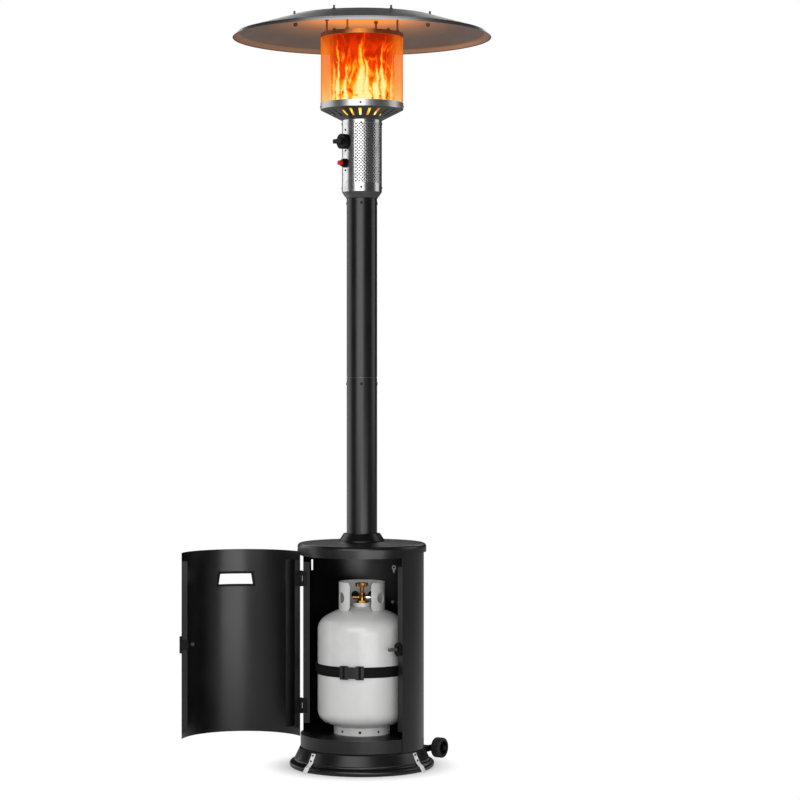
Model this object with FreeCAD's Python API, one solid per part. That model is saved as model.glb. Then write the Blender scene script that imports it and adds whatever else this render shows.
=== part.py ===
"""Free-standing gas patio heater with a round tank cabinet, a pole and a mushroom reflector.

Millimetres, +Z up, the floor is Z = 0 and the pole's axis is the Z axis. The door opening
faces -Y. An angle "bearing" is measured seen from above, from -Y towards +X.
"""

import FreeCAD
import Part
import os
from math import acos, cos, degrees, hypot, pi, radians, sin, sqrt

# Fits and clearances
RUNNING_CLEARANCE = 0.05
SEAT_CLEARANCE = 0.2
SOFT_CLEARANCE = 0.3

# Cabinet
CABINET_RADIUS = 182.0
SHEET = 1.5
SHELL_BOTTOM = 58.0
SHELL_TOP = 620.0
OPENING_HALF_ANGLE = 73.5
JAMB_FLANGE_WIDTH = 19.0
JAMB_FLANGE_BOTTOM = 118.0
JAMB_FLANGE_TOP = 594.0
BAND_HEIGHT = 34.0
BAND_LIP_WIDTH = 14.0
BAND_LAP_ANGLE = 6.0
SHELF_HEIGHT = 5.5
SHELF_RIDGE_RADII = (104.0, 122.0, 140.0, 158.0)
SHELF_RIDGE_WIDTH = 4.0
SHELF_RIDGE_HEIGHT = 0.8
RING_HEIGHT = 10.6
RING_LIP_WIDTH = 16.0
VENT_BEARING = -91.5
VENT_BOTTOM = 566.0
VENT_TOP = 598.0
VENT_WIDTH = 10.0

# Lid
LID_RADIUS = 189.3
LID_SKIRT = 14.5
LID_CORNER = 10.0
LID_CROWN = 5.0
LID_FLAT_RADIUS = 78.0
LID_HOSE_HOLE_RADIUS = 20.0
LID_HEM_WIDTH = 22.0

# Base ring
FOOT_FLARE_RADIUS = 197.0
FOOT_FLARE_BOTTOM = 27.0
FOOT_WALL = 2.0
BEAD_CENTRE_RADIUS = 203.0
BEAD_CENTRE_HEIGHT = 9.0
BEAD_RADIUS = 9.5
BEAD_FILLET_ANGLE = 105.0
BEAD_FILLET_SAG = 1.2

# Base clips
CLIP_BEARINGS = (-15.0, 88.5, 216.5)
CLIP_WIDTH = 17.0
CLIP_THICKNESS = 1.5
CLIP_TOP = 53.0
CLIP_TOE_RADIUS = 220.0
CLIP_TOE_HEIGHT = 1.6
CLIP_BEND_ANGLES = (75.0, 60.0, 45.0, 30.0, 15.0)
CLIP_SCREW_HEIGHTS = (47.5, 32.0)
CLIP_SCREW_RADIUS = 3.0
CLIP_SCREW_HEAD = 1.6
CLIP_SCREW_LENGTH = 6.0

# Door
DOOR_GAP = 2.0
DOOR_BOTTOM = 79.0
DOOR_TOP = 625.5
DOOR_FLANGE_WIDTH = 16.0
DOOR_FLANGE_INSET = 25.0
STIFFENER_SETBACK = 32.0
STIFFENER_DEPTH = 33.0
DOOR_OPEN_ANGLE = 136.0
LATCH_GAP = 6.5
HANDLE_BOTTOM = 519.0
HANDLE_HEIGHT = 35.0
HANDLE_BOTTOM_WIDTH = 107.0
HANDLE_TOP_WIDTH = 97.0
TRIM_LIP = 5.0
TRIM_RIM = 2.0
TRIM_THICKNESS = 1.2

# Hinges
HINGE_HEIGHTS = (169.0, 545.0)
HINGE_HEIGHT = 46.0
HINGE_SLIT = 4.5
LEAF_THICKNESS = 1.2
LEAF_WIDTH = 15.0
LEAF_CORNER = 5.0
KNUCKLE_RADIUS = 3.0
PIN_RADIUS = 1.5
PIN_HEAD_RADIUS = 2.3
PIN_HEAD_HEIGHT = 1.5
KNUCKLE_OUTSET = 5.5
KNUCKLE_GAP = 0.4
KNUCKLE_COUNT = 3

# Door catch
CATCH_HEIGHT = 355.0
CATCH_RADIUS = 157.5
CATCH_BASE_HALF_HEIGHT = 20.0
CATCH_BASE_WIDTH = 32.0
CATCH_BASE_THICKNESS = 3.0
CATCH_SOCKET_RADIUS = 7.0
CATCH_SOCKET_DEPTH = 12.0
PLUNGER_RADIUS = 5.0
PLUNGER_LENGTH = 29.0
PLUNGER_TAIL = 6.0
CATCH_SCREW_SPACING = 30.0
SMALL_SCREW_RADIUS = 1.6
SMALL_HEAD_RADIUS = 3.0
SMALL_HEAD_HEIGHT = 1.2
SCREW_HOLE_DEPTH = 3.0
LATCH_PLATE_HEIGHT = 49.0
LATCH_PLATE_THICKNESS = 5.5
LATCH_PLATE_WIDTH = 18.0
LATCH_WEB_HEIGHT = 30.0
LATCH_WEB_THICKNESS = 3.0
LATCH_SCREW_SPACING = 20.0
LATCH_ARM_THICKNESS = 2.5
LATCH_ARM_HEIGHT = 16.0
STUD_RADIUS = 5.0
STUD_LENGTH = 3.0
STUD_BLOCK_DEPTH = 5.0

# Wheels
WHEEL_RADIUS = 30.0
WHEEL_WIDTH = 28.0
WHEEL_CENTRE_X = 120.0
WHEEL_CENTRE_Y = 240.0
WHEEL_LIFT = 2.0
TYRE_DEPTH = 7.0
TYRE_EDGE = 4.0
HUB_RADIUS = 9.0
SPOKE_COUNT = 5
SPOKE_WIDTH = 6.0
SPOKE_DEPTH = 12.0
AXLE_RADIUS = 4.0
AXLE_CAP_RADIUS = 7.0
AXLE_CAP_LENGTH = 5.0
ARM_CENTRE_X = 100.0
ARM_THICKNESS = 6.0
ARM_HEIGHT = 18.0

# Tank
TANK_BEARING = 33.5
TANK_RADIUS = 130.0
TANK_WALL = 2.5
TANK_CYLINDER_BOTTOM = 166.0
TANK_CYLINDER_TOP = 400.0
TANK_TOP_KNUCKLE = 46.0
TANK_TOP_CROWN = 200.0
TANK_FOOT_KNUCKLE = 40.0
TANK_FOOT_CROWN = 260.0
FOOT_RING_RADIUS = 82.6
FOOT_RING_HOLE_RADIUS = 4.0
FOOT_RING_HOLE_RISE = 10.5
FOOT_RING_HOLE_COUNT = 9
FOOT_RING_HOLE_BEARING = -4.0
COLLAR_RADIUS = 68.0
COLLAR_TOP = 541.0
COLLAR_GAP_ANGLE = 27.6
COLLAR_TURN = -4.0
COLLAR_GAP_SLOPE_ANGLE = 4.0
COLLAR_SLOPE_HEIGHT = 8.0
COLLAR_FLARE_TOP = 469.0
COLLAR_FLARE_SPREAD = 0.5
COLLAR_HOLE_BEARING = 59.0
COLLAR_HOLE_RADIUS = 16.0
COLLAR_HOLE_CENTRE = 496.0
COLLAR_REAR_HOLE_BEARING = 22.0
COLLAR_REAR_HOLE_RADIUS = 12.0
NECK_RADIUS = 28.0
NECK_HEIGHT = 8.6
VALVE_RADIUS = 10.0
VALVE_HEIGHT = 28.0
VALVE_FOOT_RADIUS = 16.5
VALVE_FOOT_HEIGHT = 6.0
VALVE_STEM_RADIUS = 5.0
HANDWHEEL_RADIUS = 19.5
HANDWHEEL_HEIGHT = 10.0
HANDWHEEL_FLUTES = 12
HANDWHEEL_DROP = 4.0
HANDWHEEL_FLUTE_RADIUS = 3.2
OUTLET_RISE = 15.0
OUTLET_REACH = 22.0
OUTLET_RADIUS = 6.0
RELIEF_RADIUS = 6.0
RELIEF_REACH = 27.0
CAP_NUT_RADIUS = 8.5
CAP_NUT_LENGTH = 11.0
CAP_STEP_RADIUS = 5.0
CAP_STEP_LENGTH = 10.0

# Tank strap
STRAP_HEIGHT = 288.0
STRAP_WIDTH = 31.0
STRAP_THICKNESS = 1.8
STRAP_WRAP_ANGLE = 85.0
STRAP_TAB_DEPTH = 3.0
STRAP_TAB_WIDTH = 16.0
BUCKLE_BEARING = -12.4
BUCKLE_WIDTH = 68.0
BUCKLE_HEIGHT = 39.0
BUCKLE_THICKNESS = 9.0
BUCKLE_BAR_WIDTH = 23.0
BUCKLE_WAIST_HEIGHT = 33.0

# Rear wall fittings
HOOK_BEARING = 181.0
HOOK_TOP = 577.0
HOOK_LENGTH = 26.0
HOOK_WIDTH = 14.0
HOOK_THICKNESS = 2.0
REAR_BOLT_BEARINGS = (175.7, 181.9)
REAR_BOLT_HEIGHT = 466.0
REAR_BOLT_RADIUS = 4.5
REAR_BOLT_HEAD = 3.0
REAR_BOLT_SHANK_RADIUS = 2.5
REAR_BOLT_SHANK_LENGTH = 6.0

# Pole
POLE_RADIUS = 44.8
POLE_WALL = 1.5
POLE_JOINT_HEIGHT = 1140.0
POLE_JOINT_GAP = 0.8
POLE_TOP = 1667.0
POLE_EDGE = 1.0
SLEEVE_HALF_LENGTH = 50.0
SLEEVE_WALL = 2.0
POLE_SCREW_COUNT = 4
POLE_SCREW_BEARING = 31.5
POLE_JOINT_SCREW_DROP = 18.0
POLE_TOP_SCREW_DROP = 15.0
POLE_SCREW_HEAD_RADIUS = 4.0
POLE_SCREW_HEAD = 1.2
POLE_SCREW_RADIUS = 2.0
FLANGE_FOOT_RADIUS = 66.7
FLANGE_TOP_RADIUS = 53.4
FLANGE_FOOT = 3.0
FLANGE_HEIGHT = 20.0
FLANGE_BOLT_CIRCLE = 55.0
FLANGE_BOLT_COUNT = 4
FLANGE_BOLT_RADIUS = 3.0
FLANGE_BOLT_HEAD_RADIUS = 5.5
FLANGE_BOLT_HEAD = 4.0
FLANGE_BOLT_GRIP = 7.0

# Burner head
HEAD_RADIUS = 58.7
HEAD_SHEET = 1.0
HEAD_COLLAR_HEIGHT = 18.0
HEAD_COLLAR_FOOT_RADIUS = 46.2
HEAD_SPIGOT_LENGTH = 36.0
HOUSING_HEIGHT = 210.0
HEAD_SCREW_COUNT = 4
HEAD_SCREW_BEARING = 31.5
HEAD_LOWER_SCREW_RISE = 12.0
HEAD_LAP_HEIGHT = 18.0
HEAD_UPPER_SCREW_DROP = 10.0
CONE_TOP_RADIUS = 122.0
CONE_HEIGHT = 32.0
CONE_SLOT_COUNT = 24
CONE_SLOT_BEARING = 0.5
CONE_SLOT_INNER_WIDTH = 6.0
CONE_SLOT_OUTER_WIDTH = 9.0
CONE_SLOT_INNER = 76.0
CONE_SLOT_OUTER = 112.0
BAND_RISE = 19.0
SCREEN_RADIUS = 121.0
SCREEN_SHEET = 0.8
SCREEN_HEIGHT = 192.0
TOP_RING_HEIGHT = 12.0
TOP_RING_LIP = 7.0
BURNER_RADIUS = 92.0
BURNER_DEPTH = 14.0
BURNER_SHEET = 1.2
BURNER_PORT_CIRCLES = (24.0, 48.0, 72.0)
BURNER_PORT_RADIUS = 3.0
BURNER_PORTS_PER_CIRCLE = 12
BURNER_FLANGE = 2.0
GAS_TUBE_RADIUS = 5.0
GAS_TUBE_BORE = 2.0
MIXER_RADIUS = 14.0
MIXER_LENGTH = 46.0

# Controls on the burner head
CONTROL_BEARING = -21.5
KNOB_RISE = 146.0
KNOB_RADIUS = 22.2
KNOB_DISC = 13.0
KNOB_GRIP_LENGTH = 41.0
KNOB_GRIP_THICKNESS = 12.3
KNOB_GRIP_HEIGHT = 14.0
KNOB_HUB_RISE = 4.5
SPINDLE_GRIP = 14.0
KNOB_HUB_RADIUS = 11.0
KNOB_STANDOFF = 4.0
KNOB_PUSH = 3.0
SPINDLE_RADIUS = 4.0
SPINDLE_REACH = 20.0
KNOB_HOLE_RADIUS = 8.0
VALVE_BLOCK_WIDTH = 30.0
VALVE_BLOCK_HEIGHT = 46.0
VALVE_BLOCK_FRONT = 40.0
VALVE_BLOCK_BACK = -6.0
VALVE_INLET_RADIUS = 6.5
VALVE_INLET_LENGTH = 16.0
VALVE_INLET_BORE = 3.0
IGNITER_RISE = 83.0
BEZEL_RADIUS = 13.5
BEZEL_THICKNESS = 5.0
BEZEL_COLLAR_RADIUS = 10.5
BEZEL_COLLAR_RISE = 9.0
IGNITER_RADIUS = 10.5
IGNITER_LENGTH = 42.0
BUTTON_RADIUS = 7.0
BUTTON_REACH = 24.0
BUTTON_TRAVEL = 5.0
BUTTON_TAIL = 12.0
BUTTON_EDGE = 1.5
UPPER_CONTROL_SCREW_RISE = 34.5
KNOB_SCREW_CLEARANCE = 1.0
LOWER_CONTROL_SCREW_DROP = 21.0
PILOT_BEARING = 170.0
PILOT_CIRCLE = 100.0
PILOT_RADIUS = 4.0
PILOT_HEIGHT = 34.0
PILOT_SPARK_RISE = 22.5
PILOT_SPARK_HEIGHT = 5.5

# Reflector
DISH_RADIUS = 380.0
DISH_RIM_DROP = 12.0
DISH_LIP_WIDTH = 12.0
DISH_LIP_RISE = 12.0
DISH_SKIRT_RISE = 44.5
DISH_CROWN_RADIUS = 220.0
DISH_CROWN_RISE = 13.5
DISH_SHEET = 1.5
STUD_CIRCLE = 213.0
STUD_COUNT = 8
STUD_BEARING = -33.5
DISH_STUD_RADIUS = 3.0
DISH_STUD_RISE = 10.0
DISH_NUT_RADIUS = 6.0
DISH_NUT_HEIGHT = 5.0
POST_COUNT = 4
POST_BEARING = 11.5
POST_RADIUS = 3.0
POST_CIRCLE = 112.0
POST_NUT_RADIUS = 6.0
POST_NUT_HEIGHT = 4.5

# Places that follow from the sizes above
UP = FreeCAD.Vector(0, 0, 1)
ORIGIN = FreeCAD.Vector(0, 0, 0)
SHELL_INNER = CABINET_RADIUS - SHEET
BAND_OUTER = SHELL_INNER - SEAT_CLEARANCE
BAND_TOP = SHELL_BOTTOM + BAND_HEIGHT
SHELF_TOP = BAND_TOP + SHELF_HEIGHT
LID_BOTTOM = SHELL_TOP + RING_HEIGHT
LID_EDGE = LID_BOTTOM + LID_SKIRT + LID_CORNER
LID_TOP = LID_EDGE + LID_CROWN
DOOR_INNER = CABINET_RADIUS + DOOR_GAP
DOOR_OUTER = DOOR_INNER + SHEET
HINGE_AXIS_RADIUS = CABINET_RADIUS + KNUCKLE_OUTSET
TANK_FLOOR = SHELF_TOP
HOUSING_BOTTOM = POLE_TOP + HEAD_COLLAR_HEIGHT
KNOB_HEIGHT = HOUSING_BOTTOM + KNOB_RISE
IGNITER_HEIGHT = HOUSING_BOTTOM + IGNITER_RISE
CONTROL_SCREW_HEIGHTS = (
    KNOB_HEIGHT + UPPER_CONTROL_SCREW_RISE,
    KNOB_HEIGHT - KNOB_RADIUS - SMALL_HEAD_RADIUS - KNOB_SCREW_CLEARANCE,
    IGNITER_HEIGHT - LOWER_CONTROL_SCREW_DROP,
)
HOUSING_TOP = HOUSING_BOTTOM + HOUSING_HEIGHT
CONE_TOP = HOUSING_TOP + CONE_HEIGHT
EMITTER_BOTTOM = CONE_TOP + BAND_RISE
EMITTER_TOP = EMITTER_BOTTOM + SCREEN_HEIGHT
TOP_RING_TOP = EMITTER_TOP + TOP_RING_HEIGHT
DISH_RIM_HEIGHT = TOP_RING_TOP - DISH_RIM_DROP
DISH_LIP_RADIUS = DISH_RADIUS - DISH_LIP_WIDTH
DISH_LIP_TOP = DISH_RIM_HEIGHT + DISH_LIP_RISE
DISH_CROWN_EDGE = DISH_LIP_TOP + DISH_SKIRT_RISE
DISH_APEX = DISH_CROWN_EDGE + DISH_CROWN_RISE
WHEEL_CENTRE_Z = WHEEL_RADIUS + WHEEL_LIFT


def point(radius, bearing, height):
    """Give the point at a radius from the axis, a bearing in degrees and a height."""
    angle = radians(bearing)
    return FreeCAD.Vector(radius * sin(angle), -radius * cos(angle), height)


def turned(shape, bearing):
    """Turn a shape that was built facing -Y so that it faces a bearing."""
    result = shape.copy()
    result.rotate(ORIGIN, UP, bearing)
    return result


def around(shape, count, first=0.0):
    """Copy a shape around the Z axis, evenly, from a first bearing."""
    return [turned(shape, first + 360.0 * index / count) for index in range(count)]


def group(shapes):
    """Put separate solids into one compound."""
    return Part.makeCompound(shapes)


def fused(first, *others):
    """Join shapes into one solid without leftover seams."""
    return first.fuse(list(others)).removeSplitter()


def disc(radius, bottom, height):
    """Make an upright cylinder on the Z axis."""
    return Part.makeCylinder(radius, height, FreeCAD.Vector(0, 0, bottom))


def tube(outer, wall, bottom, height):
    """Make an upright tube on the Z axis."""
    return disc(outer, bottom, height).cut(disc(outer - wall, bottom, height))


def rod(start, direction, radius, length):
    """Make a cylinder from a start point along a direction."""
    return Part.makeCylinder(radius, length, start, direction)


def block(x_from, x_to, y_from, y_to, z_from, z_to):
    """Make a box from its limits along each axis."""
    corner = FreeCAD.Vector(x_from, y_from, z_from)
    return Part.makeBox(x_to - x_from, y_to - y_from, z_to - z_from, corner)


def upright_prism(corners, y_from, y_to):
    """Push a closed outline of (x, z) corners along Y."""
    outline = [FreeCAD.Vector(x, y_from, z) for x, z in corners]
    face = Part.Face(Part.makePolygon(outline + outline[:1]))
    return face.extrude(FreeCAD.Vector(0, y_to - y_from, 0))


def wedge(half_angle, reach, bottom, height):
    """Make the prism that covers bearings up to half_angle on both sides of -Y."""
    steps = max(2, int(half_angle // 30) + 2)
    bearings = [half_angle * (2.0 * step / steps - 1.0) for step in range(steps + 1)]
    rim = [point(reach, bearing, bottom) for bearing in bearings]
    outline = [FreeCAD.Vector(0, 0, bottom)] + rim + [FreeCAD.Vector(0, 0, bottom)]
    return Part.Face(Part.makePolygon(outline)).extrude(UP * height)


def arc_edge(start, middle, end):
    """Make an arc in the XZ plane through three (radius, height) points."""
    places = [FreeCAD.Vector(radius, 0, height) for radius, height in (start, middle, end)]
    return Part.Arc(*places).toShape()


def line_edge(start, end):
    """Make a straight edge in the XZ plane between two (radius, height) points."""
    places = [FreeCAD.Vector(radius, 0, height) for radius, height in (start, end)]
    return Part.LineSegment(*places).toShape()


def spun(edges, angle=360.0):
    """Spin a closed outline in the XZ plane about the Z axis."""
    face = Part.Face(Part.Wire(edges))
    return face.revolve(ORIGIN, UP, angle)


def lathe(corners, angle=360.0):
    """Spin a closed outline of (radius, height) corners about the Z axis."""
    pairs = zip(corners, corners[1:] + corners[:1])
    return spun([line_edge(start, end) for start, end in pairs], angle)


def ribbon(path, thickness):
    """Give the closed outline of a strip that lies on the outer side of a path."""
    shifted = []
    for index, (radius, height) in enumerate(path):
        before = path[max(index - 1, 0)]
        after = path[min(index + 1, len(path) - 1)]
        run, rise = after[0] - before[0], after[1] - before[1]
        length = hypot(run, rise)
        shifted.append((radius - thickness * rise / length, height + thickness * run / length))
    return list(path) + shifted[::-1]


def screw(surface, direction, shank_radius, head_radius, head_height, length):
    """Make a pan screw whose head stands on a surface point, shank pointing inwards."""
    head = rod(surface, direction, head_radius, head_height)
    shank = rod(surface, direction * -1.0, shank_radius, length)
    return fused(head, shank)


def hexagon(centre, radius, height):
    """Make an upright hexagonal nut or bolt head."""
    corners = [
        centre + FreeCAD.Vector(radius * cos(pi / 3 * step), radius * sin(pi / 3 * step), 0)
        for step in range(7)
    ]
    return Part.Face(Part.makePolygon(corners)).extrude(UP * height)


def at_jamb(shape, side):
    """Place a shape built at an opening edge, x into the wall, at the right (1) or left (-1)."""
    result = shape.copy()
    if side < 0:
        result = result.mirror(ORIGIN, FreeCAD.Vector(1, 0, 0))
    return turned(result, side * OPENING_HALF_ANGLE)


def hinge_axis():
    """Give the point on the floor below the door's hinge pins."""
    half_slit = FreeCAD.Vector(-HINGE_SLIT / 2, -HINGE_AXIS_RADIUS, 0)
    left = FreeCAD.Vector(-half_slit.x, half_slit.y, 0)
    return FreeCAD.Rotation(UP, -OPENING_HALF_ANGLE).multVec(left)


def opened(shape):
    """Swing a shape built on the closed door to the open rest position."""
    result = shape.copy()
    result.rotate(hinge_axis(), UP, -DOOR_OPEN_ANGLE)
    return result


def foot_outline():
    """Give the base ring's outer (radius, height) stations from the top down to the bead."""
    fillet = radians(BEAD_FILLET_ANGLE)
    bead_start = (
        BEAD_CENTRE_RADIUS + BEAD_RADIUS * cos(fillet),
        BEAD_CENTRE_HEIGHT + BEAD_RADIUS * sin(fillet),
    )
    return (CABINET_RADIUS, SHELL_BOTTOM), (FOOT_FLARE_RADIUS, FOOT_FLARE_BOTTOM), bead_start


def foot_edges(inner_wall):
    """Give the base ring's closed outline, with a wall inside or filled to the axis."""
    top, flare, bead_start = foot_outline()
    sag_radius = (flare[0] + bead_start[0]) / 2 - BEAD_FILLET_SAG
    sag = (sag_radius, (flare[1] + bead_start[1]) / 2 - BEAD_FILLET_SAG)
    reach = sqrt(BEAD_RADIUS ** 2 - BEAD_CENTRE_HEIGHT ** 2)
    bead_out = (BEAD_CENTRE_RADIUS + BEAD_RADIUS, BEAD_CENTRE_HEIGHT)
    bead_foot = (BEAD_CENTRE_RADIUS + reach, 0.0)
    inner_foot = (flare[0] - inner_wall, 0.0)
    inner_flare = (flare[0] - inner_wall, flare[1])
    inner_top = (top[0] - inner_wall, top[1])
    corners = [bead_foot, inner_foot, inner_flare, inner_top, top, flare]
    straight = [line_edge(start, end) for start, end in zip(corners, corners[1:])]
    fillet = arc_edge(flare, sag, bead_start)
    bead = arc_edge(bead_start, bead_out, bead_foot)
    return straight + [fillet, bead]


def base_ring():
    """Flared steel foot with a rolled bead that is flat where it meets the floor."""
    ring = spun(foot_edges(FOOT_WALL))
    for hole in clip_screw_shanks():
        ring = ring.cut(hole)
    return ring


def clip_path():
    """Give the (radius, height) path of a base clip, just outside the foot."""
    top, flare, _ = foot_outline()
    slope = (flare[0] - top[0]) / (top[1] - flare[1])
    start = (top[0] + slope * (top[1] - CLIP_TOP), CLIP_TOP)
    over_bead = BEAD_RADIUS + SEAT_CLEARANCE
    path = [(start[0] + SEAT_CLEARANCE, start[1]), (flare[0] + SEAT_CLEARANCE, flare[1])]
    for angle in CLIP_BEND_ANGLES:
        turn = radians(angle)
        path.append((
            BEAD_CENTRE_RADIUS + over_bead * cos(turn),
            BEAD_CENTRE_HEIGHT + over_bead * sin(turn),
        ))
    path.append((CLIP_TOE_RADIUS, CLIP_TOE_HEIGHT))
    return path


def base_clips():
    """Three bright spring clips that hold the base ring's edge."""
    sweep = degrees(CLIP_WIDTH / BEAD_CENTRE_RADIUS)
    strip = lathe(ribbon(clip_path(), CLIP_THICKNESS), sweep)
    centred = turned(strip, -90.0 - sweep / 2)
    clips = group([turned(centred, bearing) for bearing in CLIP_BEARINGS])
    for hole in clip_screw_shanks():
        clips = clips.cut(hole)
    return clips


def clip_screw_seats():
    """Give the place on the front clip of each screw's head, and the way the head faces."""
    top, flare, _ = foot_outline()
    slope = (flare[0] - top[0]) / (top[1] - flare[1])
    tilt = FreeCAD.Vector(0, -1, slope).normalize()
    seats = []
    for height in CLIP_SCREW_HEIGHTS:
        radius = top[0] + slope * (top[1] - height)
        lift = tilt * (SEAT_CLEARANCE + CLIP_THICKNESS)
        seats.append((FreeCAD.Vector(0, -radius, height) + lift, tilt))
    return seats


def clip_screw_shanks():
    """Give the shanks of all the clip screws, which are also their holes."""
    shanks = [rod(seat, tilt * -1.0, SMALL_SCREW_RADIUS, CLIP_SCREW_LENGTH)
              for seat, tilt in clip_screw_seats()]
    return [turned(shank, bearing) for shank in shanks for bearing in CLIP_BEARINGS]


def base_clip_screws():
    """Two black screws on each clip."""
    screws = [screw(seat, tilt, SMALL_SCREW_RADIUS, CLIP_SCREW_RADIUS, CLIP_SCREW_HEAD,
                    CLIP_SCREW_LENGTH)
              for seat, tilt in clip_screw_seats()]
    return group([turned(one, bearing) for one in screws for bearing in CLIP_BEARINGS])


def bottom_band():
    """Curved sill across the opening with a lip folded inwards at its top."""
    half_angle = OPENING_HALF_ANGLE + BAND_LAP_ANGLE
    skin = tube(BAND_OUTER, SHEET, SHELL_BOTTOM, BAND_HEIGHT)
    lip = tube(BAND_OUTER, BAND_LIP_WIDTH, BAND_TOP - SHEET, SHEET)
    whole = fused(skin, lip)
    return whole.common(wedge(half_angle, 2 * CABINET_RADIUS, SHELL_BOTTOM, BAND_HEIGHT))


def tank_shelf():
    """Round cabinet floor with a rim below and pressed rings on top."""
    plate = disc(BAND_OUTER, SHELF_TOP - SHEET, SHEET)
    rim = tube(BAND_OUTER, SHEET, BAND_TOP, SHELF_HEIGHT)
    ridges = [
        tube(radius + SHELF_RIDGE_WIDTH / 2, SHELF_RIDGE_WIDTH, SHELF_TOP, SHELF_RIDGE_HEIGHT)
        for radius in SHELF_RIDGE_RADII
    ]
    return fused(plate, rim, *ridges)


def cabinet_shell():
    """Curved sheet round the back and sides, folded inwards at both opening edges."""
    wall = tube(CABINET_RADIUS, SHEET, SHELL_BOTTOM, SHELL_TOP - SHELL_BOTTOM)
    opening = wedge(OPENING_HALF_ANGLE, 2 * CABINET_RADIUS, SHELL_BOTTOM, SHELL_TOP)
    vent = block(-VENT_WIDTH / 2, VENT_WIDTH / 2, -CABINET_RADIUS - SHEET,
                 -SHELL_INNER + SHEET, VENT_BOTTOM, VENT_TOP)
    wall = wall.cut(opening).cut(turned(vent, VENT_BEARING))
    flange = block(0, SHEET, -SHELL_INNER - SHEET / 2, -SHELL_INNER + JAMB_FLANGE_WIDTH,
                   JAMB_FLANGE_BOTTOM, JAMB_FLANGE_TOP)
    start = FreeCAD.Vector(-SHEET, -CATCH_RADIUS, CATCH_HEIGHT)
    socket = rod(start, FreeCAD.Vector(1, 0, 0), CATCH_SOCKET_RADIUS + SEAT_CLEARANCE,
                 CATCH_SOCKET_DEPTH)
    shell = fused(wall, at_jamb(flange, 1).cut(at_jamb(socket, 1)), at_jamb(flange, -1))
    for hole in catch_screw_rods(SEAT_CLEARANCE) + rear_bolt_rods(SEAT_CLEARANCE):
        shell = shell.cut(hole)
    return shell


def top_ring():
    """Ring over the opening that carries the lid on its inward lip."""
    skin = tube(CABINET_RADIUS, SHEET, SHELL_TOP, RING_HEIGHT)
    lip = tube(CABINET_RADIUS, RING_LIP_WIDTH, LID_BOTTOM - SHEET, SHEET)
    return fused(skin, lip)


def cabinet_lid():
    """Round crowned lid with a rounded edge, a skirt and a hem turned inwards."""
    hole = LID_HOSE_HOLE_RADIUS
    corner = LID_CORNER * (1 - cos(pi / 4))
    inset = LID_CORNER - SHEET
    inner_corner = SHEET + inset * (1 - cos(pi / 4))
    skirt_top = LID_BOTTOM + LID_SKIRT
    hem_inner = LID_RADIUS - LID_HEM_WIDTH
    edge = LID_RADIUS - LID_CORNER
    inner = LID_RADIUS - SHEET
    lines = [
        ((edge, LID_EDGE), (LID_FLAT_RADIUS, LID_TOP)),
        ((LID_FLAT_RADIUS, LID_TOP), (hole, LID_TOP)),
        ((hole, LID_TOP), (hole, LID_TOP - SHEET)),
        ((hole, LID_TOP - SHEET), (LID_FLAT_RADIUS, LID_TOP - SHEET)),
        ((LID_FLAT_RADIUS, LID_TOP - SHEET), (edge, LID_EDGE - SHEET)),
        ((inner, skirt_top), (inner, LID_BOTTOM + SHEET)),
        ((inner, LID_BOTTOM + SHEET), (hem_inner, LID_BOTTOM + SHEET)),
        ((hem_inner, LID_BOTTOM + SHEET), (hem_inner, LID_BOTTOM)),
        ((hem_inner, LID_BOTTOM), (LID_RADIUS, LID_BOTTOM)),
        ((LID_RADIUS, LID_BOTTOM), (LID_RADIUS, skirt_top)),
    ]
    outer_arc = arc_edge((LID_RADIUS, skirt_top), (LID_RADIUS - corner, LID_EDGE - corner),
                         (edge, LID_EDGE))
    inner_arc = arc_edge((edge, LID_EDGE - SHEET),
                         (LID_RADIUS - inner_corner, LID_EDGE - inner_corner),
                         (inner, skirt_top))
    edges = [line_edge(start, end) for start, end in lines]
    lid = spun(edges[:5] + [inner_arc] + edges[5:] + [outer_arc])
    for bolt in flange_bolt_rods(SEAT_CLEARANCE):
        lid = lid.cut(bolt)
    return lid


def jamb_hinge_leaves():
    """Leaf with the upper and lower knuckles of each hinge, on the left jamb flange."""
    return group([hinge_leaf(height, 0.0, (0, 2)) for height in HINGE_HEIGHTS])


def door_hinge_leaves():
    """Leaf with the middle knuckle of each hinge, on the door's flange."""
    inset = HINGE_SLIT - LEAF_THICKNESS
    return group([opened(hinge_leaf(height, inset, (1,))) for height in HINGE_HEIGHTS])


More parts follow.
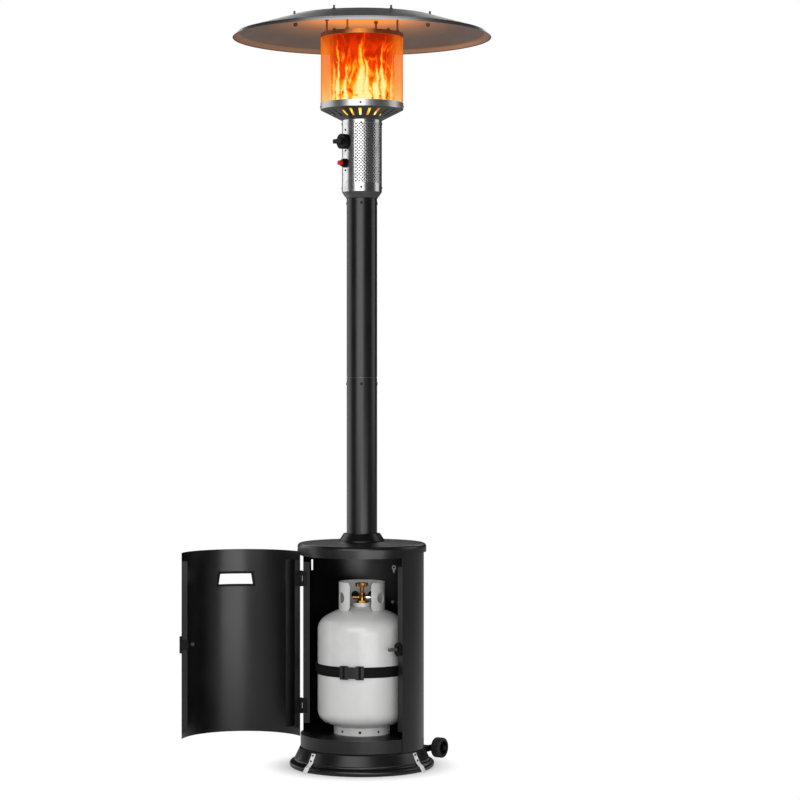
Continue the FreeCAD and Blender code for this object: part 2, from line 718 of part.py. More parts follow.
def hinge_leaf(centre, inset, knuckles):
    """Make one hinge leaf at a distance from the jamb, with its share of three knuckles."""
    bottom = centre - HINGE_HEIGHT / 2
    knuckle = HINGE_HEIGHT / KNUCKLE_COUNT
    shoulder = HINGE_AXIS_RADIUS - KNUCKLE_RADIUS - KNUCKLE_GAP
    plate = block(-inset - LEAF_THICKNESS, -inset, -shoulder, -shoulder + LEAF_WIDTH,
                  bottom, bottom + HINGE_HEIGHT)
    far_edges = [
        edge for edge in plate.Edges
        if edge.BoundBox.ZLength < LEAF_THICKNESS and edge.BoundBox.YLength < LEAF_THICKNESS
        and edge.BoundBox.YMax > -shoulder + LEAF_WIDTH / 2
    ]
    plate = plate.makeFillet(LEAF_CORNER, far_edges)
    axis = FreeCAD.Vector(-HINGE_SLIT / 2, -HINGE_AXIS_RADIUS, 0)
    pieces = []
    for index in knuckles:
        low = bottom + knuckle * index + KNUCKLE_GAP / 2
        high = low + knuckle - KNUCKLE_GAP
        tab = block(-inset - LEAF_THICKNESS, -inset, -HINGE_AXIS_RADIUS,
                    -shoulder + KNUCKLE_RADIUS, low, high)
        roll = rod(axis + UP * low, UP, KNUCKLE_RADIUS, high - low)
        pieces += [tab, roll]
    bore = rod(axis + UP * bottom, UP, PIN_RADIUS + RUNNING_CLEARANCE, HINGE_HEIGHT)
    return at_jamb(fused(plate, *pieces).cut(bore), -1)


def hinge_pins():
    """Headed pin through the knuckles of each hinge."""
    axis = FreeCAD.Vector(-HINGE_SLIT / 2, -HINGE_AXIS_RADIUS, 0)
    pins = []
    for height in HINGE_HEIGHTS:
        bottom = height - HINGE_HEIGHT / 2
        shank = rod(axis + UP * bottom, UP, PIN_RADIUS, HINGE_HEIGHT)
        head = rod(axis + UP * (bottom + HINGE_HEIGHT), UP, PIN_HEAD_RADIUS, PIN_HEAD_HEIGHT)
        pins.append(at_jamb(fused(shank, head), -1))
    return group(pins)


def handle_prism(growth, radius_from, radius_to):
    """Make the handle opening's trapezoid as a prism, grown on every side."""
    half_bottom = HANDLE_BOTTOM_WIDTH / 2 + growth
    half_top = HANDLE_TOP_WIDTH / 2 + growth
    top = HANDLE_BOTTOM + HANDLE_HEIGHT + growth
    bottom = HANDLE_BOTTOM - growth
    corners = [(-half_bottom, bottom), (half_bottom, bottom), (half_top, top), (-half_top, top)]
    return upright_prism(corners, -radius_to, -radius_from)


def closed_door_panel():
    """Make the door's sheet, flanges, hinge-side stiffener and handle opening, door closed."""
    height = DOOR_TOP - DOOR_BOTTOM
    sheet = tube(DOOR_OUTER, SHEET, DOOR_BOTTOM, height)
    sheet = sheet.common(wedge(OPENING_HALF_ANGLE, 2 * DOOR_OUTER, DOOR_BOTTOM, height))
    low = DOOR_BOTTOM + DOOR_FLANGE_INSET
    high = DOOR_TOP - DOOR_FLANGE_INSET
    for side, gap in ((1, LATCH_GAP), (-1, HINGE_SLIT)):
        beyond = block(-gap, CABINET_RADIUS / 2, -2 * DOOR_OUTER, 0, DOOR_BOTTOM, DOOR_TOP)
        flange = block(-gap - SHEET, -gap, -DOOR_INNER - SHEET / 2,
                       -DOOR_INNER + DOOR_FLANGE_WIDTH, low, high)
        sheet = fused(sheet.cut(at_jamb(beyond, side)), at_jamb(flange, side))
    stiffener = block(-STIFFENER_SETBACK - SHEET, -STIFFENER_SETBACK, -DOOR_OUTER,
                      -DOOR_INNER + STIFFENER_DEPTH, low, high)
    stiffener = stiffener.common(disc(DOOR_OUTER, low, high - low))
    sheet = fused(sheet, at_jamb(stiffener, -1))
    return sheet.cut(handle_prism(0, DOOR_INNER / 2, 2 * DOOR_OUTER))


def door_panel():
    """Curved door that laps over the opening, swung open."""
    panel = closed_door_panel()
    for hole in latch_screw_rods(SEAT_CLEARANCE):
        panel = panel.cut(hole)
    return opened(panel)


def handle_trim():
    """Channel trim that wraps the edge of the handle opening."""
    band = tube(DOOR_OUTER + TRIM_THICKNESS, SHEET + 2 * TRIM_THICKNESS, DOOR_BOTTOM,
                DOOR_TOP - DOOR_BOTTOM)
    outer = handle_prism(TRIM_LIP, DOOR_INNER / 2, 2 * DOOR_OUTER)
    inner = handle_prism(-TRIM_RIM, DOOR_INNER / 2, 2 * DOOR_OUTER)
    return opened(band.common(outer).cut(inner).cut(closed_door_panel()))


def catch_screw_rods(growth):
    """Make the shanks of the catch's two screws, grown for clearance holes."""
    radius = SHELL_INNER - JAMB_FLANGE_WIDTH / 2
    rods = []
    for rise in (-CATCH_SCREW_SPACING / 2, CATCH_SCREW_SPACING / 2):
        start = FreeCAD.Vector(-CATCH_BASE_THICKNESS, -radius, CATCH_HEIGHT + rise)
        shank = rod(start, FreeCAD.Vector(1, 0, 0), SMALL_SCREW_RADIUS + growth,
                    CATCH_BASE_THICKNESS + 2 * SHEET)
        rods.append(at_jamb(shank, 1))
    return rods


def catch_screw_heads(growth):
    """Make the sunk heads of the catch's two screws, grown for their recesses."""
    radius = SHELL_INNER - JAMB_FLANGE_WIDTH / 2
    heads = []
    for rise in (-CATCH_SCREW_SPACING / 2, CATCH_SCREW_SPACING / 2):
        start = FreeCAD.Vector(-CATCH_BASE_THICKNESS, -radius, CATCH_HEIGHT + rise)
        head = rod(start, FreeCAD.Vector(1, 0, 0), SMALL_HEAD_RADIUS + growth, SMALL_HEAD_HEIGHT)
        heads.append(at_jamb(head, 1))
    return heads


def catch_body():
    """Oval base plate on the jamb with the plunger's socket behind it."""
    along = FreeCAD.Vector(1, 0, 0)
    half_width = CATCH_BASE_WIDTH / 2
    middle = CATCH_RADIUS + half_width - CATCH_SOCKET_RADIUS - SHEET
    straight = CATCH_BASE_HALF_HEIGHT - half_width
    pieces = []
    for rise in (-straight, straight):
        centre = FreeCAD.Vector(-CATCH_BASE_THICKNESS, -middle, CATCH_HEIGHT + rise)
        pieces.append(rod(centre, along, half_width, CATCH_BASE_THICKNESS))
    pieces.append(block(-CATCH_BASE_THICKNESS, 0, -middle - half_width, -middle + half_width,
                        CATCH_HEIGHT - straight, CATCH_HEIGHT + straight))
    start = FreeCAD.Vector(-CATCH_BASE_THICKNESS, -CATCH_RADIUS, CATCH_HEIGHT)
    pieces.append(rod(start, along, CATCH_SOCKET_RADIUS,
                      CATCH_BASE_THICKNESS + CATCH_SOCKET_DEPTH))
    bore = rod(start, along, PLUNGER_RADIUS + RUNNING_CLEARANCE,
               CATCH_BASE_THICKNESS + CATCH_SOCKET_DEPTH - SHEET)
    body = at_jamb(fused(*pieces).cut(bore), 1)
    for recess in catch_screw_heads(SEAT_CLEARANCE) + catch_screw_rods(0):
        body = body.cut(recess)
    return body


def catch_plunger():
    """Sprung pin with a round nose that meets the door's stud."""
    along = FreeCAD.Vector(1, 0, 0)
    tip = -CATCH_BASE_THICKNESS - PLUNGER_LENGTH
    start = FreeCAD.Vector(tip, -CATCH_RADIUS, CATCH_HEIGHT)
    pin = rod(start, along, PLUNGER_RADIUS, PLUNGER_LENGTH + PLUNGER_TAIL)
    nose = [edge for edge in pin.Edges if edge.BoundBox.XMax < tip + SHEET]
    return at_jamb(pin.makeFillet(PLUNGER_RADIUS / 2, nose), 1)


def latch_screw_rods(growth):
    """Make the shanks of the latch's two screws on the closed door."""
    radius = DOOR_INNER - DOOR_FLANGE_WIDTH / 2
    front = -LATCH_GAP + LATCH_WEB_THICKNESS
    rods = []
    for rise in (-LATCH_SCREW_SPACING / 2, LATCH_SCREW_SPACING / 2):
        start = FreeCAD.Vector(front, -radius, CATCH_HEIGHT + rise)
        shank = rod(start, FreeCAD.Vector(-1, 0, 0), SMALL_SCREW_RADIUS + growth,
                    LATCH_WEB_THICKNESS + 2 * SHEET)
        rods.append(at_jamb(shank, 1))
    return rods


def latch_screw_heads(growth):
    """Make the sunk heads of the latch's two screws on the closed door."""
    radius = DOOR_INNER - DOOR_FLANGE_WIDTH / 2
    front = -LATCH_GAP + LATCH_WEB_THICKNESS
    heads = []
    for rise in (-LATCH_SCREW_SPACING / 2, LATCH_SCREW_SPACING / 2):
        start = FreeCAD.Vector(front, -radius, CATCH_HEIGHT + rise)
        head = rod(start, FreeCAD.Vector(-1, 0, 0), SMALL_HEAD_RADIUS + growth,
                   SMALL_HEAD_HEIGHT)
        heads.append(at_jamb(head, 1))
    return heads


def latch_screws():
    """Two screws that hold the latch bracket on the door's flange."""
    pairs = zip(latch_screw_rods(0), latch_screw_heads(0))
    return group([opened(fused(head, shank)) for shank, head in pairs])


def latch_bracket():
    """Bracket round the door's free edge, with an arm that carries the stud."""
    web_inner = DOOR_INNER - DOOR_FLANGE_WIDTH - LATCH_ARM_THICKNESS - SOFT_CLEARANCE
    arm_outer = web_inner + LATCH_ARM_THICKNESS
    plate_outer = DOOR_OUTER + LATCH_PLATE_THICKNESS
    front = -LATCH_GAP + LATCH_WEB_THICKNESS
    stud_face = -CATCH_BASE_THICKNESS - PLUNGER_LENGTH - SOFT_CLEARANCE
    block_front = stud_face - STUD_LENGTH
    block_back = block_front - STUD_BLOCK_DEPTH
    half_web = LATCH_WEB_HEIGHT / 2
    half_arm = LATCH_ARM_HEIGHT / 2
    half_plate = LATCH_PLATE_HEIGHT / 2
    web = block(-LATCH_GAP, front, -plate_outer, -web_inner,
                CATCH_HEIGHT - half_web, CATCH_HEIGHT + half_web)
    plate = block(-LATCH_GAP - LATCH_PLATE_WIDTH, front, -plate_outer, -DOOR_INNER,
                  CATCH_HEIGHT - half_plate, CATCH_HEIGHT + half_plate)
    arm = block(block_back, front, -arm_outer, -web_inner,
                CATCH_HEIGHT - half_arm, CATCH_HEIGHT + half_arm)
    head = block(block_back, block_front, -arm_outer, -CATCH_RADIUS + STUD_RADIUS + SHEET,
                 CATCH_HEIGHT - half_arm, CATCH_HEIGHT + half_arm)
    bracket = at_jamb(fused(web, plate, arm, head), 1)
    door_space = tube(DOOR_OUTER + SEAT_CLEARANCE, SHEET + DOOR_FLANGE_WIDTH / 2, DOOR_BOTTOM,
                      DOOR_TOP - DOOR_BOTTOM)
    keep = at_jamb(block(-LATCH_GAP, front, -plate_outer, 0, DOOR_BOTTOM, DOOR_TOP), 1)
    bracket = bracket.cut(door_space.cut(keep))
    for recess in latch_screw_heads(SEAT_CLEARANCE) + latch_screw_rods(0):
        bracket = bracket.cut(recess)
    return opened(bracket)


def latch_stud():
    """Bright steel stud on the door that the plunger holds."""
    stud_face = -CATCH_BASE_THICKNESS - PLUNGER_LENGTH - SOFT_CLEARANCE
    start = FreeCAD.Vector(stud_face, -CATCH_RADIUS, CATCH_HEIGHT)
    return opened(at_jamb(rod(start, FreeCAD.Vector(-1, 0, 0), STUD_RADIUS, STUD_LENGTH), 1))


def on_wheel_axis(shape, side, centre_x):
    """Lay a shape built about the Z axis along X, with its middle at the wheel's height."""
    result = shape.copy()
    result.rotate(ORIGIN, FreeCAD.Vector(0, 1, 0), 90.0 * side)
    result.translate(FreeCAD.Vector(side * centre_x, WHEEL_CENTRE_Y, WHEEL_CENTRE_Z))
    return result


def wheel_tyre(side):
    """Rubber tyre with rounded shoulders."""
    ring = tube(WHEEL_RADIUS, TYRE_DEPTH, -WHEEL_WIDTH / 2, WHEEL_WIDTH)
    shoulders = [
        edge for edge in ring.Edges
        if edge.BoundBox.XMax > WHEEL_RADIUS - RUNNING_CLEARANCE and edge.BoundBox.ZLength < 1
    ]
    return on_wheel_axis(ring.makeFillet(TYRE_EDGE, shoulders), side, WHEEL_CENTRE_X)


def wheel_hub(side):
    """Spoked wheel centre with its bored hub."""
    rim_radius = WHEEL_RADIUS - TYRE_DEPTH
    half_width = WHEEL_WIDTH / 2
    rim = tube(rim_radius, TYRE_EDGE, -half_width, WHEEL_WIDTH)
    hub_inner = ARM_CENTRE_X + ARM_THICKNESS / 2 + SOFT_CLEARANCE - WHEEL_CENTRE_X
    hub = disc(HUB_RADIUS, hub_inner, half_width - hub_inner)
    spoke = block(-SPOKE_WIDTH / 2, SPOKE_WIDTH / 2, TYRE_EDGE / 2 - rim_radius,
                  TYRE_EDGE / 2 - HUB_RADIUS, -SPOKE_DEPTH / 2, SPOKE_DEPTH / 2)
    bore = disc(AXLE_RADIUS + RUNNING_CLEARANCE, -WHEEL_WIDTH, 2 * WHEEL_WIDTH)
    centre = fused(rim, hub, *around(spoke, SPOKE_COUNT)).cut(bore)
    return on_wheel_axis(centre, side, WHEEL_CENTRE_X)


def wheel_arms():
    """Two arms from the back of the base ring to the axle."""
    arms = []
    for side in (-1, 1):
        low_x = side * ARM_CENTRE_X - ARM_THICKNESS / 2
        bar = block(low_x, low_x + ARM_THICKNESS, CABINET_RADIUS / 2, WHEEL_CENTRE_Y,
                    WHEEL_CENTRE_Z - ARM_HEIGHT / 2, WHEEL_CENTRE_Z + ARM_HEIGHT / 2)
        eye = on_wheel_axis(disc(ARM_HEIGHT / 2, -ARM_THICKNESS / 2, ARM_THICKNESS), side,
                            ARM_CENTRE_X)
        hole = on_wheel_axis(disc(AXLE_RADIUS, -ARM_THICKNESS, 2 * ARM_THICKNESS), side,
                             ARM_CENTRE_X)
        pieces = fused(bar, eye).cut(hole).cut(base_ring()).Solids
        arms.append(max(pieces, key=lambda solid: solid.BoundBox.YMax))
    return group(arms)


def axle_end():
    """Give the distance from the middle to the outer faces of the wheel hubs."""
    return WHEEL_CENTRE_X + WHEEL_WIDTH / 2 + SOFT_CLEARANCE


def wheel_axle():
    """Steel axle through both arms and wheels, with a push-on cap at each end."""
    half = axle_end() + AXLE_CAP_LENGTH - SHEET
    pieces = [on_wheel_axis(disc(AXLE_RADIUS, -half, 2 * half), 1, 0.0)]
    for side in (-1, 1):
        cap = disc(AXLE_CAP_RADIUS, 0, AXLE_CAP_LENGTH)
        bore = disc(AXLE_RADIUS, 0, AXLE_CAP_LENGTH - SHEET)
        pieces.append(on_wheel_axis(cap.cut(bore), side, axle_end()))
    return group(pieces)


def dished_end(radius, knuckle, crown, height, side):
    """Give the arcs of a dished tank end, from its rim to the axis, and the apex height."""
    rise = sqrt((crown - knuckle) ** 2 - (radius - knuckle) ** 2)
    centre = height - side * rise
    share = crown / (crown - knuckle)
    join = ((radius - knuckle) * share, centre + side * rise * share)
    half_turn = acos((radius - knuckle) / (crown - knuckle)) / 2
    knuckle_middle = (radius - knuckle * (1 - cos(half_turn)),
                      height + side * knuckle * sin(half_turn))
    half_cap = acos((join[1] - centre) * side / crown) / 2
    crown_middle = (crown * sin(half_cap), centre + side * crown * cos(half_cap))
    apex = (0.0, centre + side * crown)
    arcs = [arc_edge((radius, height), knuckle_middle, join),
            arc_edge(join, crown_middle, apex)]
    return arcs, apex


def tank_form(inset):
    """Make the tank's filled form, inset from its outer skin."""
    radius = TANK_RADIUS - inset
    top, top_apex = dished_end(radius, TANK_TOP_KNUCKLE - inset, TANK_TOP_CROWN - inset,
                               TANK_CYLINDER_TOP, 1)
    foot, foot_apex = dished_end(radius, TANK_FOOT_KNUCKLE - inset, TANK_FOOT_CROWN - inset,
                                 TANK_CYLINDER_BOTTOM, -1)
    side = line_edge((radius, TANK_CYLINDER_BOTTOM), (radius, TANK_CYLINDER_TOP))
    axis = line_edge(top_apex, foot_apex)
    return spun(foot[::-1] + [side] + top + [axis])


def tank_apex():
    """Give the height of the tank's crown on the axis."""
    _, apex = dished_end(TANK_RADIUS, TANK_TOP_KNUCKLE, TANK_TOP_CROWN, TANK_CYLINDER_TOP, 1)
    return apex[1]


def tank_body():
    """Welded steel gas tank with dished ends and a neck boss, hollow inside."""
    neck_height = tank_apex() + NECK_HEIGHT - TANK_CYLINDER_TOP
    neck = disc(NECK_RADIUS, TANK_CYLINDER_TOP, neck_height)
    shell = fused(tank_form(0), neck).cut(tank_form(TANK_WALL))
    return shell.cut(disc(VALVE_RADIUS, TANK_CYLINDER_TOP, neck_height))


def tank_foot_ring():
    """Ring that the tank stands on, with drain holes."""
    ring = tube(FOOT_RING_RADIUS, TANK_WALL, TANK_FLOOR, TANK_CYLINDER_BOTTOM - TANK_FLOOR)
    start = FreeCAD.Vector(0, 0, TANK_FLOOR + FOOT_RING_HOLE_RISE)
    hole = rod(start, FreeCAD.Vector(0, -1, 0), FOOT_RING_HOLE_RADIUS, TANK_RADIUS)
    for cutter in around(hole, FOOT_RING_HOLE_COUNT, TANK_BEARING + FOOT_RING_HOLE_BEARING):
        ring = ring.cut(cutter)
    return ring.cut(tank_form(0))


def tank_collar():
    """Guard round the valve, open at the front, with hand holes."""
    collar = tube(COLLAR_RADIUS, TANK_WALL, TANK_CYLINDER_TOP, COLLAR_TOP - TANK_CYLINDER_TOP)
    half_gap = COLLAR_RADIUS * sin(radians(COLLAR_GAP_ANGLE))
    half_mouth = COLLAR_RADIUS * sin(radians(COLLAR_GAP_ANGLE + COLLAR_GAP_SLOPE_ANGLE))
    half_foot = half_gap + COLLAR_FLARE_SPREAD * (COLLAR_FLARE_TOP - TANK_CYLINDER_TOP)
    slope = COLLAR_TOP - COLLAR_SLOPE_HEIGHT
    corners = [(-half_foot, TANK_CYLINDER_TOP), (half_foot, TANK_CYLINDER_TOP),
               (half_gap, COLLAR_FLARE_TOP), (half_gap, slope), (half_mouth, COLLAR_TOP),
               (-half_mouth, COLLAR_TOP), (-half_gap, slope), (-half_gap, COLLAR_FLARE_TOP)]
    collar = collar.cut(upright_prism(corners, -TANK_RADIUS, 0))
    centre = FreeCAD.Vector(0, 0, COLLAR_HOLE_CENTRE)
    outwards = FreeCAD.Vector(0, -1, 0)
    hand_hole = rod(centre, outwards, COLLAR_HOLE_RADIUS, TANK_RADIUS)
    rear_hole = rod(centre, outwards, COLLAR_REAR_HOLE_RADIUS, TANK_RADIUS)
    for side in (-1, 1):
        collar = collar.cut(turned(hand_hole, side * COLLAR_HOLE_BEARING))
        collar = collar.cut(turned(rear_hole, 180.0 + side * COLLAR_REAR_HOLE_BEARING))
    return turned(turned(collar, COLLAR_TURN).cut(tank_form(0)), TANK_BEARING)


def valve_base():
    """Give the height of the valve's seat on the neck."""
    return tank_apex() + NECK_HEIGHT


def tank_valve():
    """Brass valve body with an outlet on the right and a relief stub on the left."""
    base = valve_base()
    body = disc(VALVE_RADIUS, base - NECK_HEIGHT, NECK_HEIGHT + VALVE_HEIGHT)
    skirt = hexagon(FreeCAD.Vector(0, 0, base), VALVE_FOOT_RADIUS, VALVE_FOOT_HEIGHT)
    middle = FreeCAD.Vector(0, 0, base + OUTLET_RISE)
    outlet = rod(middle, FreeCAD.Vector(1, 0, 0), OUTLET_RADIUS, OUTLET_REACH)
    relief = rod(middle, FreeCAD.Vector(-1, 0, 0), RELIEF_RADIUS, RELIEF_REACH)
    bore = disc(VALVE_STEM_RADIUS + RUNNING_CLEARANCE, base + VALVE_HEIGHT - VALVE_RADIUS,
                VALVE_RADIUS)
    return turned(fused(body, skirt, outlet, relief).cut(bore), TANK_BEARING)


def outlet_cap():
    """Stepped sealing cap screwed on the outlet."""
    along = FreeCAD.Vector(1, 0, 0)
    middle = FreeCAD.Vector(0, 0, valve_base() + OUTLET_RISE)
    start = middle + along * (OUTLET_REACH - CAP_NUT_LENGTH + SHEET)
    nut = rod(start, along, CAP_NUT_RADIUS, CAP_NUT_LENGTH)
    step = rod(start + along * CAP_NUT_LENGTH, along, CAP_STEP_RADIUS, CAP_STEP_LENGTH)
    bore = rod(start, along, OUTLET_RADIUS, CAP_NUT_LENGTH - SHEET)
    return turned(fused(nut, step).cut(bore), TANK_BEARING)


def handwheel_bottom():
    """Give the height of the handwheel's lower face."""
    return COLLAR_TOP - HANDWHEEL_DROP - HANDWHEEL_HEIGHT


def tank_handwheel():
    """Fluted handwheel with its stem down into the valve."""
    wheel = disc(HANDWHEEL_RADIUS, handwheel_bottom(), HANDWHEEL_HEIGHT)
    flute = rod(FreeCAD.Vector(0, -HANDWHEEL_RADIUS - SHEET, handwheel_bottom()), UP,
                HANDWHEEL_FLUTE_RADIUS, HANDWHEEL_HEIGHT)
    wheel = wheel.cut(group(around(flute, HANDWHEEL_FLUTES)))
    stem_bottom = valve_base() + VALVE_HEIGHT - VALVE_RADIUS + SHEET
    return fused(wheel, disc(VALVE_STEM_RADIUS, stem_bottom, handwheel_bottom() - stem_bottom))


def strap_reach():
    """Give the length of the strap's straight ends, from the tank to the wall anchors."""
    outer = TANK_RADIUS + SOFT_CLEARANCE + STRAP_THICKNESS
    return sqrt((SHELL_INNER - STRAP_TAB_DEPTH / 2) ** 2 - outer ** 2)


def tank_strap():
    """Woven strap round the front of the tank, running straight to tabs on the side walls."""
    outer = TANK_RADIUS + SOFT_CLEARANCE + STRAP_THICKNESS
    bottom = STRAP_HEIGHT - STRAP_WIDTH / 2
    arc = tube(outer, STRAP_THICKNESS, bottom, STRAP_WIDTH)
    arc = arc.common(wedge(STRAP_WRAP_ANGLE, 2 * TANK_RADIUS, bottom, STRAP_WIDTH))
    end = block(-STRAP_THICKNESS, strap_reach(), -outer, -outer + STRAP_THICKNESS, bottom,
                bottom + STRAP_WIDTH).cut(disc(outer - STRAP_THICKNESS, bottom, STRAP_WIDTH))
    ring = tube(SHELL_INNER, STRAP_TAB_DEPTH, bottom, STRAP_WIDTH)
    half_tab = degrees(STRAP_TAB_WIDTH / 2 / SHELL_INNER)
    tab = ring.common(wedge(half_tab, 2 * SHELL_INNER, bottom, STRAP_WIDTH))
    tab_bearing = degrees(acos(outer / (SHELL_INNER - STRAP_TAB_DEPTH / 2)))
    right = turned(fused(end, turned(tab, tab_bearing)), STRAP_WRAP_ANGLE)
    left = right.mirror(ORIGIN, FreeCAD.Vector(1, 0, 0))
    return turned(fused(arc, right, left), TANK_BEARING)


def buckle_half(side):
    """Make one half of the side-release buckle, the socket (1) or the clip (-1)."""
    inner = TANK_RADIUS + 2 * SOFT_CLEARANCE + STRAP_THICKNESS
    half_angle = degrees(BUCKLE_WIDTH / 2 / inner)
    bar_angle = degrees(BUCKLE_BAR_WIDTH / inner)
    shapes = []
    spans = ((0.0, half_angle - bar_angle, BUCKLE_WAIST_HEIGHT),
             (half_angle - bar_angle, half_angle, BUCKLE_HEIGHT))
    for start, end, height in spans:
        bottom = STRAP_HEIGHT - height / 2
        ring = tube(inner + BUCKLE_THICKNESS, BUCKLE_THICKNESS, bottom, height)
        span = wedge((end - start) / 2, 2 * TANK_RADIUS, bottom, height)
        shapes.append(turned(ring.common(span), side * (start + end) / 2))
    return turned(fused(*shapes), TANK_BEARING + BUCKLE_BEARING)


def strap_buckle():
    """Side-release buckle in two halves on the front of the strap."""
    return group([buckle_half(1), buckle_half(-1)])


def hose_hook():
    """Bright teardrop hook on the rear wall."""
    radius = HOOK_WIDTH / 2
    top = HOOK_TOP - radius
    front = -SHELL_INNER + HOOK_THICKNESS
    back = -SHELL_INNER - SHEET / 2
    rod_axis = FreeCAD.Vector(0, -1, 0)
    head = rod(FreeCAD.Vector(0, front, top), rod_axis, radius, front - back)
    corners = [(-radius, top), (radius, top), (0, HOOK_TOP - HOOK_LENGTH)]
    plate = fused(head, upright_prism(corners, back, front))
    hole = rod(FreeCAD.Vector(0, front, top), rod_axis, radius / 2, front - back)
    return turned(plate.cut(hole).common(disc(SHELL_INNER, 0, SHELL_TOP)), HOOK_BEARING)


def rear_bolt_rods(growth):
    """Make the shanks of the rear wall's bolts, grown for clearance holes."""
    start = FreeCAD.Vector(0, -SHELL_INNER + SHEET, REAR_BOLT_HEIGHT)
    shank = rod(start, FreeCAD.Vector(0, -1, 0), REAR_BOLT_SHANK_RADIUS + growth,
                REAR_BOLT_SHANK_LENGTH)
    return [turned(shank, bearing) for bearing in REAR_BOLT_BEARINGS]


def rear_bolts():
    """Two bolts through the rear wall."""
    start = FreeCAD.Vector(0, -SHELL_INNER + SHEET, REAR_BOLT_HEIGHT)
    head = rod(start, FreeCAD.Vector(0, 1, 0), REAR_BOLT_RADIUS, REAR_BOLT_HEAD)
    seat = rod(start, FreeCAD.Vector(0, -1, 0), REAR_BOLT_RADIUS, 2 * SHEET)
    collar = seat.common(disc(SHELL_INNER, 0, SHELL_TOP))
    bolts = []
    for bearing, shank in zip(REAR_BOLT_BEARINGS, rear_bolt_rods(0)):
        bolts.append(fused(turned(head, bearing), turned(collar, bearing), shank))
    return group(bolts)


def flange_bolt_rods(growth):
    """Make the shanks of the pole flange's bolts, grown for clearance holes."""
    start = FreeCAD.Vector(0, -FLANGE_BOLT_CIRCLE, LID_TOP - SHEET)
    shank = rod(start, UP, FLANGE_BOLT_RADIUS + growth, FLANGE_BOLT_GRIP)
    return around(shank, FLANGE_BOLT_COUNT, POLE_SCREW_BEARING)


def pole_flange_bolts():
    """Bolts up through the lid into the pole flange."""
    centre = FreeCAD.Vector(0, -FLANGE_BOLT_CIRCLE, LID_TOP - SHEET - FLANGE_BOLT_HEAD)
    head = hexagon(centre, FLANGE_BOLT_HEAD_RADIUS, FLANGE_BOLT_HEAD)
    heads = around(head, FLANGE_BOLT_COUNT, POLE_SCREW_BEARING)
    return group([fused(one, shank) for one, shank in zip(heads, flange_bolt_rods(0))])


def pole_flange():
    """Cone-shaped collar that holds the pole on the lid."""
    bore = POLE_RADIUS + SEAT_CLEARANCE
    top = LID_TOP + FLANGE_FOOT + FLANGE_HEIGHT
    flange = lathe([
        (bore, LID_TOP), (FLANGE_FOOT_RADIUS, LID_TOP), (FLANGE_FOOT_RADIUS, LID_TOP + FLANGE_FOOT),
        (FLANGE_TOP_RADIUS, top), (bore, top),
    ])
    for bolt in flange_bolt_rods(0):
        flange = flange.cut(bolt)
    return flange


def pole_length(bottom, top, screw_height):
    """Make one length of pole with rounded ends and its screw holes."""
    length = tube(POLE_RADIUS, POLE_WALL, bottom, top - bottom)
    rims = [
        edge for edge in length.Edges
        if edge.BoundBox.XMax > POLE_RADIUS - POLE_WALL / 2 and edge.BoundBox.ZLength < 1
    ]
    length = length.makeFillet(POLE_EDGE, rims)
    for hole in pole_screw_rods(screw_height, SEAT_CLEARANCE):
        length = length.cut(hole)
    return length


def pole_screw_rods(height, growth):
    """Make the shanks of one ring of pole screws, grown for clearance holes."""
    start = FreeCAD.Vector(0, -POLE_RADIUS, height)
    shank = rod(start, FreeCAD.Vector(0, 1, 0), POLE_SCREW_RADIUS + growth,
                POLE_WALL + SLEEVE_WALL + SHEET)
    return around(shank, POLE_SCREW_COUNT, POLE_SCREW_BEARING)


def pole_screw_ring(height):
    """Make one ring of pole screws."""
    start = FreeCAD.Vector(0, -POLE_RADIUS + POLE_WALL / 2, height)
    head = rod(start, FreeCAD.Vector(0, -1, 0), POLE_SCREW_HEAD_RADIUS,
               POLE_SCREW_HEAD + POLE_WALL / 2)
    seat = head.cut(disc(POLE_RADIUS, 0, POLE_TOP))
    heads = around(seat, POLE_SCREW_COUNT, POLE_SCREW_BEARING)
    return [fused(one, shank) for one, shank in zip(heads, pole_screw_rods(height, 0))]


def pole_lower():
    """Lower length of the pole, standing on the lid."""
    return pole_length(LID_TOP, POLE_JOINT_HEIGHT - POLE_JOINT_GAP / 2,
                       POLE_JOINT_HEIGHT - POLE_JOINT_SCREW_DROP)


def pole_upper():
    """Upper length of the pole, up to the burner head."""
    return pole_length(POLE_JOINT_HEIGHT + POLE_JOINT_GAP / 2, POLE_TOP,
                       POLE_TOP - POLE_TOP_SCREW_DROP)


def pole_sleeve():
    """Sleeve inside the joint of the two pole lengths."""
    sleeve = tube(POLE_RADIUS - POLE_WALL - SEAT_CLEARANCE, SLEEVE_WALL,
                  POLE_JOINT_HEIGHT - SLEEVE_HALF_LENGTH, 2 * SLEEVE_HALF_LENGTH)
    for hole in pole_screw_rods(POLE_JOINT_HEIGHT - POLE_JOINT_SCREW_DROP, 0):
        sleeve = sleeve.cut(hole)
    return sleeve


def pole_screws():
    """Screws through the pole at the joint sleeve and at the head's spigot."""
    heights = (POLE_JOINT_HEIGHT - POLE_JOINT_SCREW_DROP, POLE_TOP - POLE_TOP_SCREW_DROP)
    return group([one for height in heights for one in pole_screw_ring(height)])


